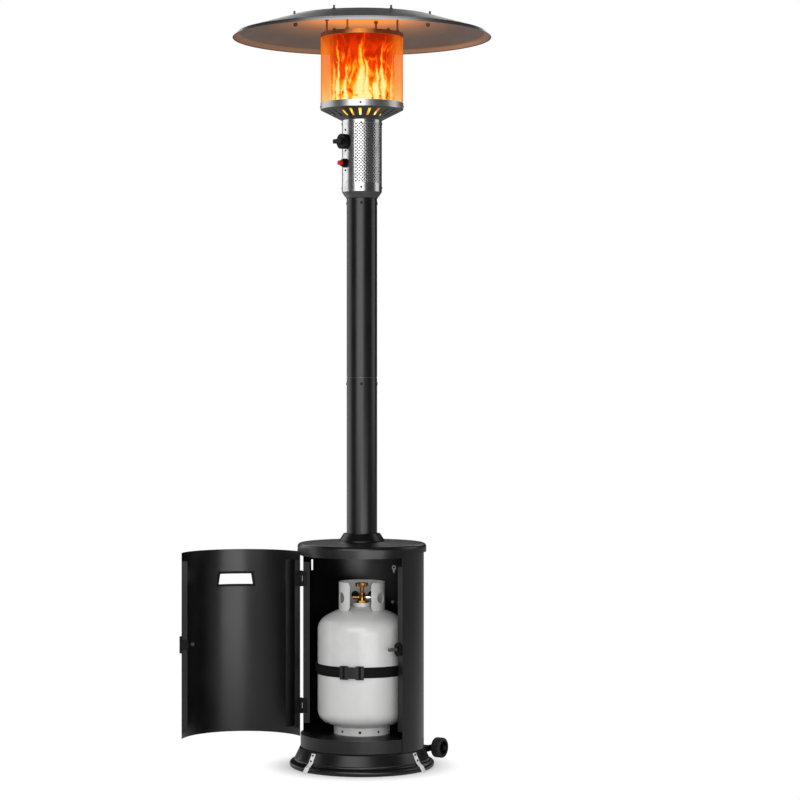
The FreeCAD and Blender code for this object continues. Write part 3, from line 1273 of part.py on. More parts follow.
def head_collar():
    """Flared collar on the pole's top with a spigot down inside the pole."""
    spigot_outer = POLE_RADIUS - POLE_WALL - SEAT_CLEARANCE
    spigot_inner = spigot_outer - SLEEVE_WALL
    skirt = HEAD_RADIUS - HEAD_SHEET
    collar = lathe([
        (spigot_inner, POLE_TOP - HEAD_SPIGOT_LENGTH), (spigot_outer, POLE_TOP - HEAD_SPIGOT_LENGTH),
        (spigot_outer, POLE_TOP), (HEAD_COLLAR_FOOT_RADIUS, POLE_TOP),
        (HEAD_RADIUS, HOUSING_BOTTOM), (skirt - SLEEVE_WALL, HOUSING_BOTTOM),
        (spigot_inner, POLE_TOP + SLEEVE_WALL),
    ])
    lap = tube(skirt, SLEEVE_WALL, HOUSING_BOTTOM - SHEET, HEAD_LAP_HEIGHT)
    collar = fused(collar, lap)
    for hole in pole_screw_rods(POLE_TOP - POLE_TOP_SCREW_DROP, 0):
        collar = collar.cut(hole)
    for hole in head_screw_rods(HEAD_RADIUS, HOUSING_BOTTOM + HEAD_LOWER_SCREW_RISE, 0):
        collar = collar.cut(hole)
    return collar


def head_screw_rods(radius, height, growth):
    """Make the shanks of one ring of sheet-metal screws in the head."""
    start = FreeCAD.Vector(0, -radius, height)
    shank = rod(start, FreeCAD.Vector(0, 1, 0), SMALL_SCREW_RADIUS + growth,
                HEAD_SHEET + SLEEVE_WALL + SHEET)
    return around(shank, HEAD_SCREW_COUNT, HEAD_SCREW_BEARING)


def small_screw(radius, height, bearing):
    """Make one sheet-metal screw whose head sits on a round wall."""
    inner = radius - SMALL_HEAD_HEIGHT
    start = FreeCAD.Vector(0, -inner, height)
    head = rod(start, FreeCAD.Vector(0, -1, 0), SMALL_HEAD_RADIUS, 2 * SMALL_HEAD_HEIGHT)
    seat = head.cut(disc(radius, 0, DISH_APEX))
    shank = rod(FreeCAD.Vector(0, -radius, height), FreeCAD.Vector(0, 1, 0),
                SMALL_SCREW_RADIUS, HEAD_SHEET + SLEEVE_WALL + SHEET)
    return turned(fused(seat, shank), bearing)


def screw_bearings():
    """Give the bearings of a ring of head screws."""
    return [HEAD_SCREW_BEARING + 360.0 * index / HEAD_SCREW_COUNT
            for index in range(HEAD_SCREW_COUNT)]


def sheet_screws():
    """The small screws of the head's sheets and controls, and the two of the door catch."""
    rings = [(HEAD_RADIUS, HOUSING_BOTTOM + HEAD_LOWER_SCREW_RISE),
             (HEAD_RADIUS, HOUSING_TOP - HEAD_UPPER_SCREW_DROP),
             (CONE_TOP_RADIUS, CONE_TOP + BAND_RISE / 2)]
    screws = [small_screw(radius, height, bearing)
              for radius, height in rings for bearing in screw_bearings()]
    screws += [small_screw(HEAD_RADIUS, height, CONTROL_BEARING)
               for height in CONTROL_SCREW_HEIGHTS]
    screws += [fused(head, shank) for head, shank in zip(catch_screw_heads(0), catch_screw_rods(0))]
    return group(screws)


def head_housing():
    """Round housing of the controls, with holes for the knob, the igniter and the screws."""
    housing = tube(HEAD_RADIUS, HEAD_SHEET, HOUSING_BOTTOM, HOUSING_HEIGHT)
    outwards = FreeCAD.Vector(0, -1, 0)
    knob_hole = rod(FreeCAD.Vector(0, 0, KNOB_HEIGHT), outwards, KNOB_HOLE_RADIUS, 2 * HEAD_RADIUS)
    igniter_hole = rod(FreeCAD.Vector(0, 0, IGNITER_HEIGHT), outwards,
                       IGNITER_RADIUS + SEAT_CLEARANCE, 2 * HEAD_RADIUS)
    for cutter in (knob_hole, igniter_hole):
        housing = housing.cut(turned(cutter, CONTROL_BEARING))
    bearings = [(height, bearing) for bearing in screw_bearings()
                for height in (HOUSING_BOTTOM + HEAD_LOWER_SCREW_RISE,
                               HOUSING_TOP - HEAD_UPPER_SCREW_DROP)]
    bearings += [(height, CONTROL_BEARING) for height in CONTROL_SCREW_HEIGHTS]
    for height, bearing in bearings:
        start = FreeCAD.Vector(0, -HEAD_RADIUS - HEAD_SHEET, height)
        hole = rod(start, FreeCAD.Vector(0, 1, 0), SMALL_SCREW_RADIUS, SCREW_HOLE_DEPTH)
        housing = housing.cut(turned(hole, bearing))
    return housing


def vent_cone():
    """Flared cone between housing and emitter with tapered air slots."""
    wall = HEAD_SHEET * (CONE_TOP_RADIUS - HEAD_RADIUS) / CONE_HEIGHT
    neck = tube(HEAD_RADIUS - HEAD_SHEET, SLEEVE_WALL / 2,
                HOUSING_TOP - 2 * HEAD_UPPER_SCREW_DROP, 2 * HEAD_UPPER_SCREW_DROP + HEAD_SHEET)
    cone = lathe([
        (HEAD_RADIUS - HEAD_SHEET - wall, HOUSING_TOP), (HEAD_RADIUS, HOUSING_TOP),
        (CONE_TOP_RADIUS, CONE_TOP), (CONE_TOP_RADIUS - wall, CONE_TOP),
    ])
    cone = fused(cone, neck)
    half_inner = CONE_SLOT_INNER_WIDTH / 2
    half_outer = CONE_SLOT_OUTER_WIDTH / 2
    corners = [
        FreeCAD.Vector(-half_inner, -CONE_SLOT_INNER, HOUSING_TOP),
        FreeCAD.Vector(half_inner, -CONE_SLOT_INNER, HOUSING_TOP),
        FreeCAD.Vector(half_outer, -CONE_SLOT_OUTER, HOUSING_TOP),
        FreeCAD.Vector(-half_outer, -CONE_SLOT_OUTER, HOUSING_TOP),
    ]
    slot = Part.Face(Part.makePolygon(corners + corners[:1])).extrude(UP * CONE_HEIGHT)
    for cutter in around(slot, CONE_SLOT_COUNT, CONE_SLOT_BEARING):
        cone = cone.cut(cutter)
    for hole in head_screw_rods(HEAD_RADIUS, HOUSING_TOP - HEAD_UPPER_SCREW_DROP, 0):
        cone = cone.cut(hole)
    return cone


def emitter_band():
    """Plain band on top of the cone that holds the emitter screen."""
    band = tube(CONE_TOP_RADIUS, CONE_TOP_RADIUS - SCREEN_RADIUS, CONE_TOP, BAND_RISE)
    return band.cut(group(head_screw_rods(CONE_TOP_RADIUS, CONE_TOP + BAND_RISE / 2, 0)))


def burner_plate():
    """Round floor of the emitter, resting on the cone's edge."""
    plate = disc(SCREEN_RADIUS, CONE_TOP, BURNER_SHEET)
    return plate.cut(disc(MIXER_RADIUS, CONE_TOP, BURNER_SHEET))


def emitter_screen():
    """Round mesh screen that glows above the burner."""
    bottom = CONE_TOP + BURNER_SHEET
    top = TOP_RING_TOP - SCREEN_SHEET
    screen = tube(SCREEN_RADIUS, SCREEN_SHEET, bottom, top - bottom)
    return screen.cut(group(head_screw_rods(CONE_TOP_RADIUS, CONE_TOP + BAND_RISE / 2, 0)))


def emitter_top_ring():
    """Dark ring that caps the screen's upper edge."""
    skirt = tube(CONE_TOP_RADIUS, CONE_TOP_RADIUS - SCREEN_RADIUS, EMITTER_TOP, TOP_RING_HEIGHT)
    lip = tube(CONE_TOP_RADIUS, TOP_RING_LIP + CONE_TOP_RADIUS - SCREEN_RADIUS,
               TOP_RING_TOP - SCREEN_SHEET, SCREEN_SHEET)
    return fused(skirt, lip)


def burner_cup():
    """Shallow round burner with rings of gas ports in its top."""
    bottom = CONE_TOP + BURNER_SHEET
    outer = disc(BURNER_RADIUS, bottom, BURNER_DEPTH)
    inner = disc(BURNER_RADIUS - BURNER_SHEET, bottom + BURNER_SHEET,
                 BURNER_DEPTH - 2 * BURNER_SHEET)
    cup = outer.cut(inner).cut(disc(MIXER_RADIUS - BURNER_FLANGE, bottom, BURNER_SHEET))
    for circle in BURNER_PORT_CIRCLES:
        start = FreeCAD.Vector(0, -circle, bottom + BURNER_DEPTH - BURNER_SHEET)
        port = rod(start, UP, BURNER_PORT_RADIUS, BURNER_SHEET)
        cup = cup.cut(group(around(port, BURNER_PORTS_PER_CIRCLE)))
    return cup


def mixer_tube():
    """Tube that mixes gas and air below the burner."""
    bottom = CONE_TOP + BURNER_SHEET - MIXER_LENGTH
    body = tube(MIXER_RADIUS, BURNER_FLANGE, bottom, MIXER_LENGTH)
    floor = disc(MIXER_RADIUS, bottom, BURNER_FLANGE)
    window = block(-2 * MIXER_RADIUS, 2 * MIXER_RADIUS, -BURNER_FLANGE * 2, BURNER_FLANGE * 2,
                   bottom + 2 * BURNER_FLANGE, bottom + MIXER_RADIUS)
    return fused(body, floor).cut(window).cut(disc(GAS_TUBE_RADIUS, bottom, BURNER_FLANGE))


def control_valve():
    """Gas valve inside the housing, with its hose inlet below and its jet tube above."""
    outwards = FreeCAD.Vector(0, -1, 0)
    half_width = VALVE_BLOCK_WIDTH / 2
    bottom = KNOB_HEIGHT - VALVE_BLOCK_HEIGHT / 2
    body = block(-half_width, half_width, -VALVE_BLOCK_FRONT, -VALVE_BLOCK_BACK, bottom,
                 bottom + VALVE_BLOCK_HEIGHT)
    spigot = rod(FreeCAD.Vector(0, 0, KNOB_HEIGHT), outwards, KNOB_HOLE_RADIUS + BURNER_FLANGE,
                 HEAD_RADIUS)
    spigot = spigot.common(disc(HEAD_RADIUS - HEAD_SHEET, bottom, VALVE_BLOCK_HEIGHT))
    inlet = disc(VALVE_INLET_RADIUS, bottom - VALVE_INLET_LENGTH, VALVE_INLET_LENGTH)
    inlet_bore = disc(VALVE_INLET_BORE, bottom - VALVE_INLET_LENGTH, VALVE_INLET_LENGTH)
    jet_top = CONE_TOP + BURNER_SHEET - MIXER_LENGTH + 2 * BURNER_FLANGE
    jet = tube(GAS_TUBE_RADIUS, GAS_TUBE_RADIUS - GAS_TUBE_BORE, bottom + VALVE_BLOCK_HEIGHT,
               jet_top - bottom - VALVE_BLOCK_HEIGHT)
    seat = rod(FreeCAD.Vector(0, -spindle_inner() + KNOB_PUSH + SHEET, KNOB_HEIGHT), outwards,
               SPINDLE_RADIUS + RUNNING_CLEARANCE, HEAD_RADIUS)
    valve = fused(body, spigot, inlet, jet).cut(inlet_bore).cut(seat)
    return turned(valve, CONTROL_BEARING)


def spindle_inner():
    """Give the distance from the axis to the spindle's inner end."""
    return HEAD_RADIUS - HEAD_SHEET - SPINDLE_REACH * 2


def knob_back():
    """Give the distance from the axis to the knob's back face."""
    return HEAD_RADIUS + KNOB_STANDOFF


def knob_spindle():
    """Steel spindle from the valve into the knob."""
    start = FreeCAD.Vector(0, -spindle_inner(), KNOB_HEIGHT)
    length = knob_back() + SPINDLE_GRIP - spindle_inner()
    return turned(rod(start, FreeCAD.Vector(0, -1, 0), SPINDLE_RADIUS, length), CONTROL_BEARING)


def control_knob():
    """Round knob with a raised bar grip."""
    outwards = FreeCAD.Vector(0, -1, 0)
    start = FreeCAD.Vector(0, -knob_back(), KNOB_HEIGHT)
    plate = rod(start, outwards, KNOB_RADIUS, KNOB_DISC)
    hub = rod(start, outwards, KNOB_HUB_RADIUS, KNOB_DISC + KNOB_HUB_RISE)
    front = -knob_back() - KNOB_DISC
    half_length = KNOB_GRIP_LENGTH / 2
    half_thickness = KNOB_GRIP_THICKNESS / 2
    grip = block(-half_length, half_length, front - KNOB_GRIP_HEIGHT, front,
                 KNOB_HEIGHT - half_thickness, KNOB_HEIGHT + half_thickness)
    crowned = rod(FreeCAD.Vector(0, -knob_back(), KNOB_HEIGHT), outwards, half_length,
                  KNOB_DISC + KNOB_GRIP_HEIGHT)
    bore = rod(start, outwards, SPINDLE_RADIUS + RUNNING_CLEARANCE, SPINDLE_GRIP + SHEET)
    knob = fused(plate, hub, grip.common(crowned)).cut(bore)
    return turned(knob, CONTROL_BEARING)


def igniter_front():
    """Give the distance from the axis to the igniter's front face."""
    return HEAD_RADIUS + BEZEL_THICKNESS / 4


def igniter_body():
    """Piezo igniter barrel inside the housing, bored for its button."""
    outwards = FreeCAD.Vector(0, -1, 0)
    start = FreeCAD.Vector(0, -igniter_front() + IGNITER_LENGTH, IGNITER_HEIGHT)
    barrel = rod(start, outwards, IGNITER_RADIUS, IGNITER_LENGTH)
    depth = BUTTON_TAIL + BUTTON_TRAVEL + SHEET
    seat = FreeCAD.Vector(0, -igniter_front() + depth, IGNITER_HEIGHT)
    bore = rod(seat, outwards, BUTTON_RADIUS + RUNNING_CLEARANCE, depth)
    return turned(barrel.cut(bore), CONTROL_BEARING)


def igniter_bezel():
    """Round nut that clamps the igniter on the housing."""
    outwards = FreeCAD.Vector(0, -1, 0)
    start = FreeCAD.Vector(0, 0, IGNITER_HEIGHT)
    plate = rod(start, outwards, BEZEL_RADIUS, HEAD_RADIUS + BEZEL_THICKNESS)
    collar = rod(start, outwards, BEZEL_COLLAR_RADIUS,
                 HEAD_RADIUS + BEZEL_THICKNESS + BEZEL_COLLAR_RISE)
    nut = fused(plate, collar)
    nut = nut.cut(disc(HEAD_RADIUS, HOUSING_BOTTOM, HOUSING_HEIGHT))
    nut = nut.cut(rod(start, outwards, IGNITER_RADIUS, igniter_front()))
    bore = rod(start, outwards, BUTTON_RADIUS + RUNNING_CLEARANCE, 2 * HEAD_RADIUS)
    return turned(nut.cut(bore), CONTROL_BEARING)


def igniter_button():
    """Red push button with a rounded end."""
    outwards = FreeCAD.Vector(0, -1, 0)
    start = FreeCAD.Vector(0, -igniter_front() + BUTTON_TAIL, IGNITER_HEIGHT)
    button = rod(start, outwards, BUTTON_RADIUS, BUTTON_TAIL + BUTTON_REACH)
    tip = button.BoundBox.YMin
    rim = [edge for edge in button.Edges if edge.BoundBox.YMax < tip + BUTTON_EDGE / 2]
    return turned(button.makeFillet(BUTTON_EDGE, rim), CONTROL_BEARING)


def pilot_assembly():
    """Pilot tube with a bracket on the burner plate."""
    bottom = CONE_TOP + BURNER_SHEET
    post = disc(PILOT_RADIUS, bottom, PILOT_HEIGHT)
    foot = block(-2 * PILOT_RADIUS, 2 * PILOT_RADIUS, -PILOT_RADIUS, PILOT_RADIUS, bottom,
                 bottom + BURNER_SHEET)
    spark = tube(PILOT_RADIUS + SHEET, SHEET + SOFT_CLEARANCE, bottom + PILOT_SPARK_RISE,
                 PILOT_SPARK_HEIGHT)
    pilot = fused(post, foot, spark)
    pilot.translate(FreeCAD.Vector(0, -PILOT_CIRCLE - 2 * SHEET, 0))
    return turned(pilot, PILOT_BEARING)


def dish_height(radius):
    """Give the height of the crown's upper face at a radius inside the crown's edge."""
    ball = (DISH_CROWN_RADIUS ** 2 + DISH_CROWN_RISE ** 2) / (2 * DISH_CROWN_RISE)
    return DISH_APEX - ball + sqrt(ball ** 2 - radius ** 2)


def reflector():
    """Spun aluminium dish with a shallow crown, a steeper skirt and a turned-down lip."""
    middle = DISH_CROWN_RADIUS / 2
    inner_lip = DISH_LIP_RADIUS - DISH_SHEET / 2
    crown_edge = (DISH_CROWN_RADIUS, DISH_CROWN_EDGE)
    lip_top = (DISH_LIP_RADIUS, DISH_LIP_TOP)
    rim = (DISH_RADIUS, DISH_RIM_HEIGHT)
    inner_rim = (DISH_RADIUS - DISH_SHEET, DISH_RIM_HEIGHT)
    inner_lip_top = (inner_lip, DISH_LIP_TOP - DISH_SHEET)
    inner_crown_edge = (DISH_CROWN_RADIUS, DISH_CROWN_EDGE - DISH_SHEET)
    outer = [arc_edge((0, DISH_APEX), (middle, dish_height(middle)), crown_edge),
             line_edge(crown_edge, lip_top),
             line_edge(lip_top, rim),
             line_edge(rim, inner_rim),
             line_edge(inner_rim, inner_lip_top),
             line_edge(inner_lip_top, inner_crown_edge),
             arc_edge(inner_crown_edge, (middle, dish_height(middle) - DISH_SHEET),
                      (0, DISH_APEX - DISH_SHEET)),
             line_edge((0, DISH_APEX - DISH_SHEET), (0, DISH_APEX))]
    dish = spun(outer)
    start = FreeCAD.Vector(0, -STUD_CIRCLE, DISH_RIM_HEIGHT)
    hole = rod(start, UP, DISH_STUD_RADIUS, DISH_APEX - DISH_RIM_HEIGHT + DISH_STUD_RISE)
    return dish.cut(group(around(hole, STUD_COUNT, STUD_BEARING)))


def dish_studs():
    """Studs through the dish, each with a nut below and its end standing above."""
    surface = dish_height(STUD_CIRCLE)
    bottom = surface - DISH_SHEET - 2 * DISH_NUT_HEIGHT
    shank = disc(DISH_STUD_RADIUS, bottom, surface + DISH_STUD_RISE - bottom)
    nut = hexagon(FreeCAD.Vector(0, 0, bottom + DISH_NUT_HEIGHT / 2), DISH_NUT_RADIUS,
                  2 * DISH_NUT_HEIGHT)
    stud = fused(shank, nut)
    stud.translate(FreeCAD.Vector(0, -STUD_CIRCLE, 0))
    slice_above = reflector()
    studs = [one.cut(slice_above) for one in around(stud, STUD_COUNT, STUD_BEARING)]
    return group([solid for one in studs for solid in one.Solids
                  if solid.BoundBox.ZLength > DISH_STUD_RISE])


def reflector_posts():
    """Threaded posts from the emitter's top ring to the underside of the dish."""
    bottom = TOP_RING_TOP
    post = disc(POST_RADIUS, bottom, DISH_APEX - bottom)
    nut = hexagon(FreeCAD.Vector(0, 0, bottom), POST_NUT_RADIUS, POST_NUT_HEIGHT)
    upper_nut = hexagon(FreeCAD.Vector(0, 0, dish_height(POST_CIRCLE) - 2 * POST_NUT_HEIGHT),
                        POST_NUT_RADIUS, 2 * POST_NUT_HEIGHT)
    whole = fused(post, nut, upper_nut)
    whole.translate(FreeCAD.Vector(0, -POST_CIRCLE, 0))
    posts = []
    for one in around(whole, POST_COUNT, POST_BEARING):
        pieces = one.cut(reflector()).Solids
        posts.append(min(pieces, key=lambda solid: solid.BoundBox.ZMin))
    return group(posts)


BUILDERS = (
    base_ring, base_clips, base_clip_screws, bottom_band, tank_shelf, cabinet_shell, top_ring,
    cabinet_lid, jamb_hinge_leaves, hinge_pins, catch_body, catch_plunger,
    hose_hook, rear_bolts, wheel_arms, wheel_axle,
    door_panel, handle_trim, door_hinge_leaves, latch_bracket, latch_screws, latch_stud,
    tank_body, tank_foot_ring, tank_collar, tank_valve, outlet_cap, tank_handwheel, tank_strap,
    strap_buckle,
    pole_flange, pole_flange_bolts, pole_lower, pole_sleeve, pole_upper, pole_screws,
    head_collar, head_housing, sheet_screws, control_valve, mixer_tube, knob_spindle,
    control_knob, igniter_body, igniter_bezel, igniter_button,
    vent_cone, burner_plate, burner_cup, pilot_assembly, emitter_band, emitter_screen,
    emitter_top_ring, reflector_posts, reflector, dish_studs,
)


def main():
    """Build every piece and write it as parts/NAME.step."""
    os.makedirs("parts", exist_ok=True)
    shapes = {builder.__name__: builder() for builder in BUILDERS}
    for name, side in (("left", -1), ("right", 1)):
        shapes[name + "_wheel_tyre"] = wheel_tyre(side)
        shapes[name + "_wheel_hub"] = wheel_hub(side)
    for name, shape in shapes.items():
        print(f"{name}: {len(shape.Solids)} solid(s), {shape.Volume:.0f} mm3, valid {shape.isValid()}")
        shape.exportStep(f"parts/{name}.step")


main()
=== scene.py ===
"""Looks of a free-standing gas patio heater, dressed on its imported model.

Metres, +Z up, the floor is Z = 0 and the pole's axis is the Z axis. The door opening faces -Y.
A bearing is an angle seen from above, from -Y towards +X.
"""

import logging
from dataclasses import dataclass
from enum import Enum
from math import pi, radians, sqrt, tau
from typing import Mapping, Sequence, Union

import bpy
import numpy as np
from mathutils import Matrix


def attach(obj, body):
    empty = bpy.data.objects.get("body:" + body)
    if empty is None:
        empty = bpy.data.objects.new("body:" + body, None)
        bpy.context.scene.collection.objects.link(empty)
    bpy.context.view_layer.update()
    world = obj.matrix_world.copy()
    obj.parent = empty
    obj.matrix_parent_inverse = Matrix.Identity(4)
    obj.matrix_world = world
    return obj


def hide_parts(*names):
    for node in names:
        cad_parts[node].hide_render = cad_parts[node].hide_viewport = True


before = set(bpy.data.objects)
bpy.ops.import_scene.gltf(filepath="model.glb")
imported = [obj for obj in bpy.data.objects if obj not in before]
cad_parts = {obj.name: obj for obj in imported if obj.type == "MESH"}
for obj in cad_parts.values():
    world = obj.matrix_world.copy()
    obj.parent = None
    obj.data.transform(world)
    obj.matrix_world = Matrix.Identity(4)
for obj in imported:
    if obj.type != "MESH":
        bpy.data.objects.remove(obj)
log = logging.getLogger("patio heater")
Colour = tuple[float, float, float]
Number = Union[float, "Wire"]


class Wire:
    """One output of a node tree that can be used in Python sums."""

    def __init__(self, tree: bpy.types.NodeTree, socket: bpy.types.NodeSocket) -> None:
        """Keep the tree and the socket."""
        self.tree = tree
        self.socket = socket

    def maths(self, operation: str, *values: Number, clamp: bool = False) -> "Wire":
        """Add one Math node.

        Args:
            operation: the node's operation.
            values: its inputs, in order.
            clamp: whether the result is kept between 0 and 1.

        Returns:
            The node's result.
        """
        node = self.tree.nodes.new("ShaderNodeMath")
        node.operation = operation
        node.use_clamp = clamp
        for target, value in zip(node.inputs, values):
            feed(target, value)
        return Wire(self.tree, node.outputs[0])

    def __add__(self, other: Number) -> "Wire":
        """Add."""
        return self.maths("ADD", self, other)

    __radd__ = __add__

    def __sub__(self, other: Number) -> "Wire":
        """Take away."""
        return self.maths("SUBTRACT", self, other)

    def __rsub__(self, other: Number) -> "Wire":
        """Take this from the other."""
        return self.maths("SUBTRACT", other, self)

    def __mul__(self, other: Number) -> "Wire":
        """Multiply."""
        return self.maths("MULTIPLY", self, other)

    __rmul__ = __mul__

    def __truediv__(self, other: Number) -> "Wire":
        """Divide."""
        return self.maths("DIVIDE", self, other)

    def __pow__(self, other: Number) -> "Wire":
        """Raise to a power."""
        return self.maths("POWER", self, other)

    def sine(self) -> "Wire":
        """Give the sine."""
        return self.maths("SINE", self)

    def near(self, centre: float, reach: float) -> "Wire":
        """Give 1 at a centre, falling to 0 at a reach from it."""
        return self.maths("SUBTRACT", 1.0, abs(self - centre) / reach, clamp=True)

    def __abs__(self) -> "Wire":
        """Give the size without its sign."""
        return self.maths("ABSOLUTE", self)

    def rise(self, low: float, high: float) -> "Wire":
        """Give a smooth step from 0 at low to 1 at high; low may be the larger."""
        share = self.maths("DIVIDE", self - low, high - low, clamp=True)
        return share * share * (3.0 - 2.0 * share)


def feed(target: bpy.types.NodeSocket, value: object) -> None:
    """Link a wire to a socket, or write a plain value on it.

    Args:
        target: the input socket.
        value: a wire, a number or a colour.
    """
    if isinstance(value, Wire):
        value.tree.links.new(value.socket, target)
    elif isinstance(value, tuple):
        target.default_value = (*value, 1.0)
    else:
        target.default_value = value


class Paint:
    """One material's nodes while it is being made."""

    def __init__(self, name: str) -> None:
        """Start a material with a surface shader and nothing else.

        Args:
            name: the material's name.
        """
        self.material = bpy.data.materials.new(name)
        self.material.use_nodes = True
        self.tree = self.material.node_tree
        self.shader = self.tree.nodes["Principled BSDF"]

    def node(self, kind: str, settings: Mapping[str, object], inputs: Mapping[object, object],
             output: object = 0) -> Wire:
        """Add any node.

        Args:
            kind: the node's type without its "ShaderNode" prefix.
            settings: the node's own settings.
            inputs: values or wires by socket name or number.
            output: the socket that is handed back.

        Returns:
            That output.
        """
        node = self.tree.nodes.new("ShaderNode" + kind)
        for key, value in settings.items():
            setattr(node, key, value)
        for key, value in inputs.items():
            feed(node.inputs[key], value)
        return Wire(self.tree, node.outputs[output])

    def place(self) -> Wire:
        """Give the object coordinates, which are metres in the heater's frame."""
        return self.node("TexCoord", {}, {}, "Object")

    def split(self, vector: Wire) -> tuple[Wire, Wire, Wire]:
        """Give a vector's three parts.

        Args:
            vector: the vector.

        Returns:
            Its X, Y and Z.
        """
        first = self.node("SeparateXYZ", {}, {0: vector})
        outputs = first.socket.node.outputs
        return first, Wire(self.tree, outputs[1]), Wire(self.tree, outputs[2])

    def join(self, first: Number, second: Number, third: Number) -> Wire:
        """Make a vector of three parts."""
        return self.node("CombineXYZ", {}, {0: first, 1: second, 2: third})

    def barrel(self, around: float = 1.0, upwards: float = 1.0) -> Wire:
        """Give coordinates that run round the pole's axis.

        Args:
            around: how much a radian counts.
            upwards: how much a metre of height counts.

        Returns:
            The vector (bearing times around, height times upwards, distance from the axis).
        """
        east, north, height = self.split(self.place())
        bearing = east.maths("ARCTAN2", east, north * -1.0)
        distance = (east * east + north * north) ** 0.5
        return self.join(bearing * around, height * upwards, distance)

    def noise(self, at: Wire, scale: float, detail: float = 3.0, rough: float = 0.5) -> Wire:
        """Give fractal noise from 0 to 1.

        Args:
            at: where it is read.
            scale: its features per unit.
            detail: its octaves.
            rough: the weight of the finer octaves.

        Returns:
            The noise value.
        """
        return self.node("TexNoise", {}, {"Vector": at, "Scale": scale, "Detail": detail,
                                          "Roughness": rough})

    def ramp(self, share: Wire, stops: Sequence[tuple[float, Colour]]) -> Wire:
        """Turn a number into a colour by stops.

        Args:
            share: the number, from 0 to 1.
            stops: places and colours, in order.

        Returns:
            The colour.
        """
        wire = self.node("ValToRGB", {}, {0: share})
        elements = wire.socket.node.color_ramp.elements
        while len(elements) < len(stops):
            elements.new(1.0)
        for element, (place, colour) in zip(elements, stops):
            element.position = place
            element.color = (*colour, 1.0)
        return wire

    def mix(self, share: Number, first: Union[Wire, Colour], second: Union[Wire, Colour]) -> Wire:
        """Blend two colours.

        Args:
            share: how much of the second.
            first: the first colour.
            second: the second colour.

        Returns:
            The blended colour.
        """
        return self.node("Mix", {"data_type": "RGBA"}, {0: share, 6: first, 7: second}, 2)

    def bump(self, height: Wire, depth: float, strength: float = 1.0) -> Wire:
        """Turn a height from 0 to 1 into a surface normal.

        Args:
            height: the height.
            depth: the metres between height 0 and 1.
            strength: the share of the effect.

        Returns:
            The normal.
        """
        return self.node("Bump", {}, {"Height": height, "Distance": depth, "Strength": strength})

    def finish(self, **sockets: object) -> bpy.types.Material:
        """Write or link the surface shader's sockets.

        Args:
            sockets: values or wires by socket name, with _ for a space.

        Returns:
            The finished material.
        """
        for name, value in sockets.items():
            feed(self.shader.inputs[name.replace("_", " ")], value)
        return self.material


class Grain(Enum):
    """Which way the marks of worked metal run."""

    AROUND = (6.0, 900.0)
    UPWARDS = (260.0, 3.0)


@dataclass(frozen=True)
class PowderCoat:
    """Satin powder coat with orange peel and rubbed patches."""

    name: str = "satin black powder coat"
    colour: Colour = (0.0022, 0.0022, 0.0024)
    roughness: float = 0.31
    peel: float = 0.00004
    seam: float = -1.0

    def material(self) -> bpy.types.Material:
        """Make the material.

        Returns:
            The material.
        """
        paint = Paint(self.name)
        at = paint.place()
        patches = paint.noise(at, 9.0, 4.0, 0.6)
        peel = paint.noise(at, 900.0, 2.0)
        dust = paint.noise(at, 260.0, 3.0, 0.7).rise(0.62, 0.8)
        seam = paint.split(at)[2].near(self.seam, 0.003).rise(0.0, 0.4)
        lighter = tuple(part * 2.4 for part in self.colour)
        colour = paint.mix(patches.rise(0.35, 0.75) * 0.5 + dust * 0.5, self.colour, lighter)
        roughness = patches * 0.12 + (self.roughness - 0.06) + dust * 0.08
        return paint.finish(Base_Color=paint.mix(seam, colour, (0.0, 0.0, 0.0)),
                            Roughness=roughness + seam, Specular_IOR_Level=0.5,
                            Normal=paint.bump(peel, self.peel, 0.6))


@dataclass(frozen=True)
class GlossPaint:
    """Thick glossy paint over slightly uneven steel."""

    name: str = "light grey tank paint"
    colour: Colour = (0.56, 0.56, 0.555)
    roughness: float = 0.3

    def material(self) -> bpy.types.Material:
        """Make the material.

        Returns:
            The material.
        """
        paint = Paint(self.name)
        at = paint.place()
        clouds = paint.noise(at, 14.0, 4.0, 0.6)
        peel = paint.noise(at, 330.0, 2.0)
        specks = paint.noise(at, 480.0, 2.0, 0.6).rise(0.68, 0.78)
        darker = tuple(part * 0.86 for part in self.colour)
        colour = paint.mix(clouds.rise(0.4, 0.75) * 0.6 + specks * 0.5, self.colour, darker)
        roughness = clouds * 0.1 + (self.roughness - 0.05) + specks * 0.15
        return paint.finish(Base_Color=colour, Roughness=roughness, Coat_Roughness=0.08,
                            Coat_Weight=clouds * 0.15 + 0.2,
                            Normal=paint.bump(peel, 0.00012, 0.5))


@dataclass(frozen=True)
class WorkedMetal:
    """Brushed or turned bare metal."""

    name: str
    colour: Colour
    roughness: float
    grain: Grain = Grain.AROUND
    tarnish: Colour = (0.35, 0.34, 0.33)
    stain: float = 0.25

    def material(self) -> bpy.types.Material:
        """Make the material.

        Returns:
            The material.
        """
        paint = Paint(self.name)
        marks = paint.noise(paint.barrel(*self.grain.value), 1.0, 4.0, 0.65)
        clouds = paint.noise(paint.place(), 22.0, 4.0, 0.6)
        share = clouds.rise(0.45, 0.8) * self.stain + marks * 0.18
        roughness = marks * 0.16 + clouds * 0.08 + (self.roughness - 0.12)
        return paint.finish(Base_Color=paint.mix(share, self.colour, self.tarnish),
                            Metallic=1.0, Roughness=roughness,
                            Normal=paint.bump(marks, 0.00003, 0.5))


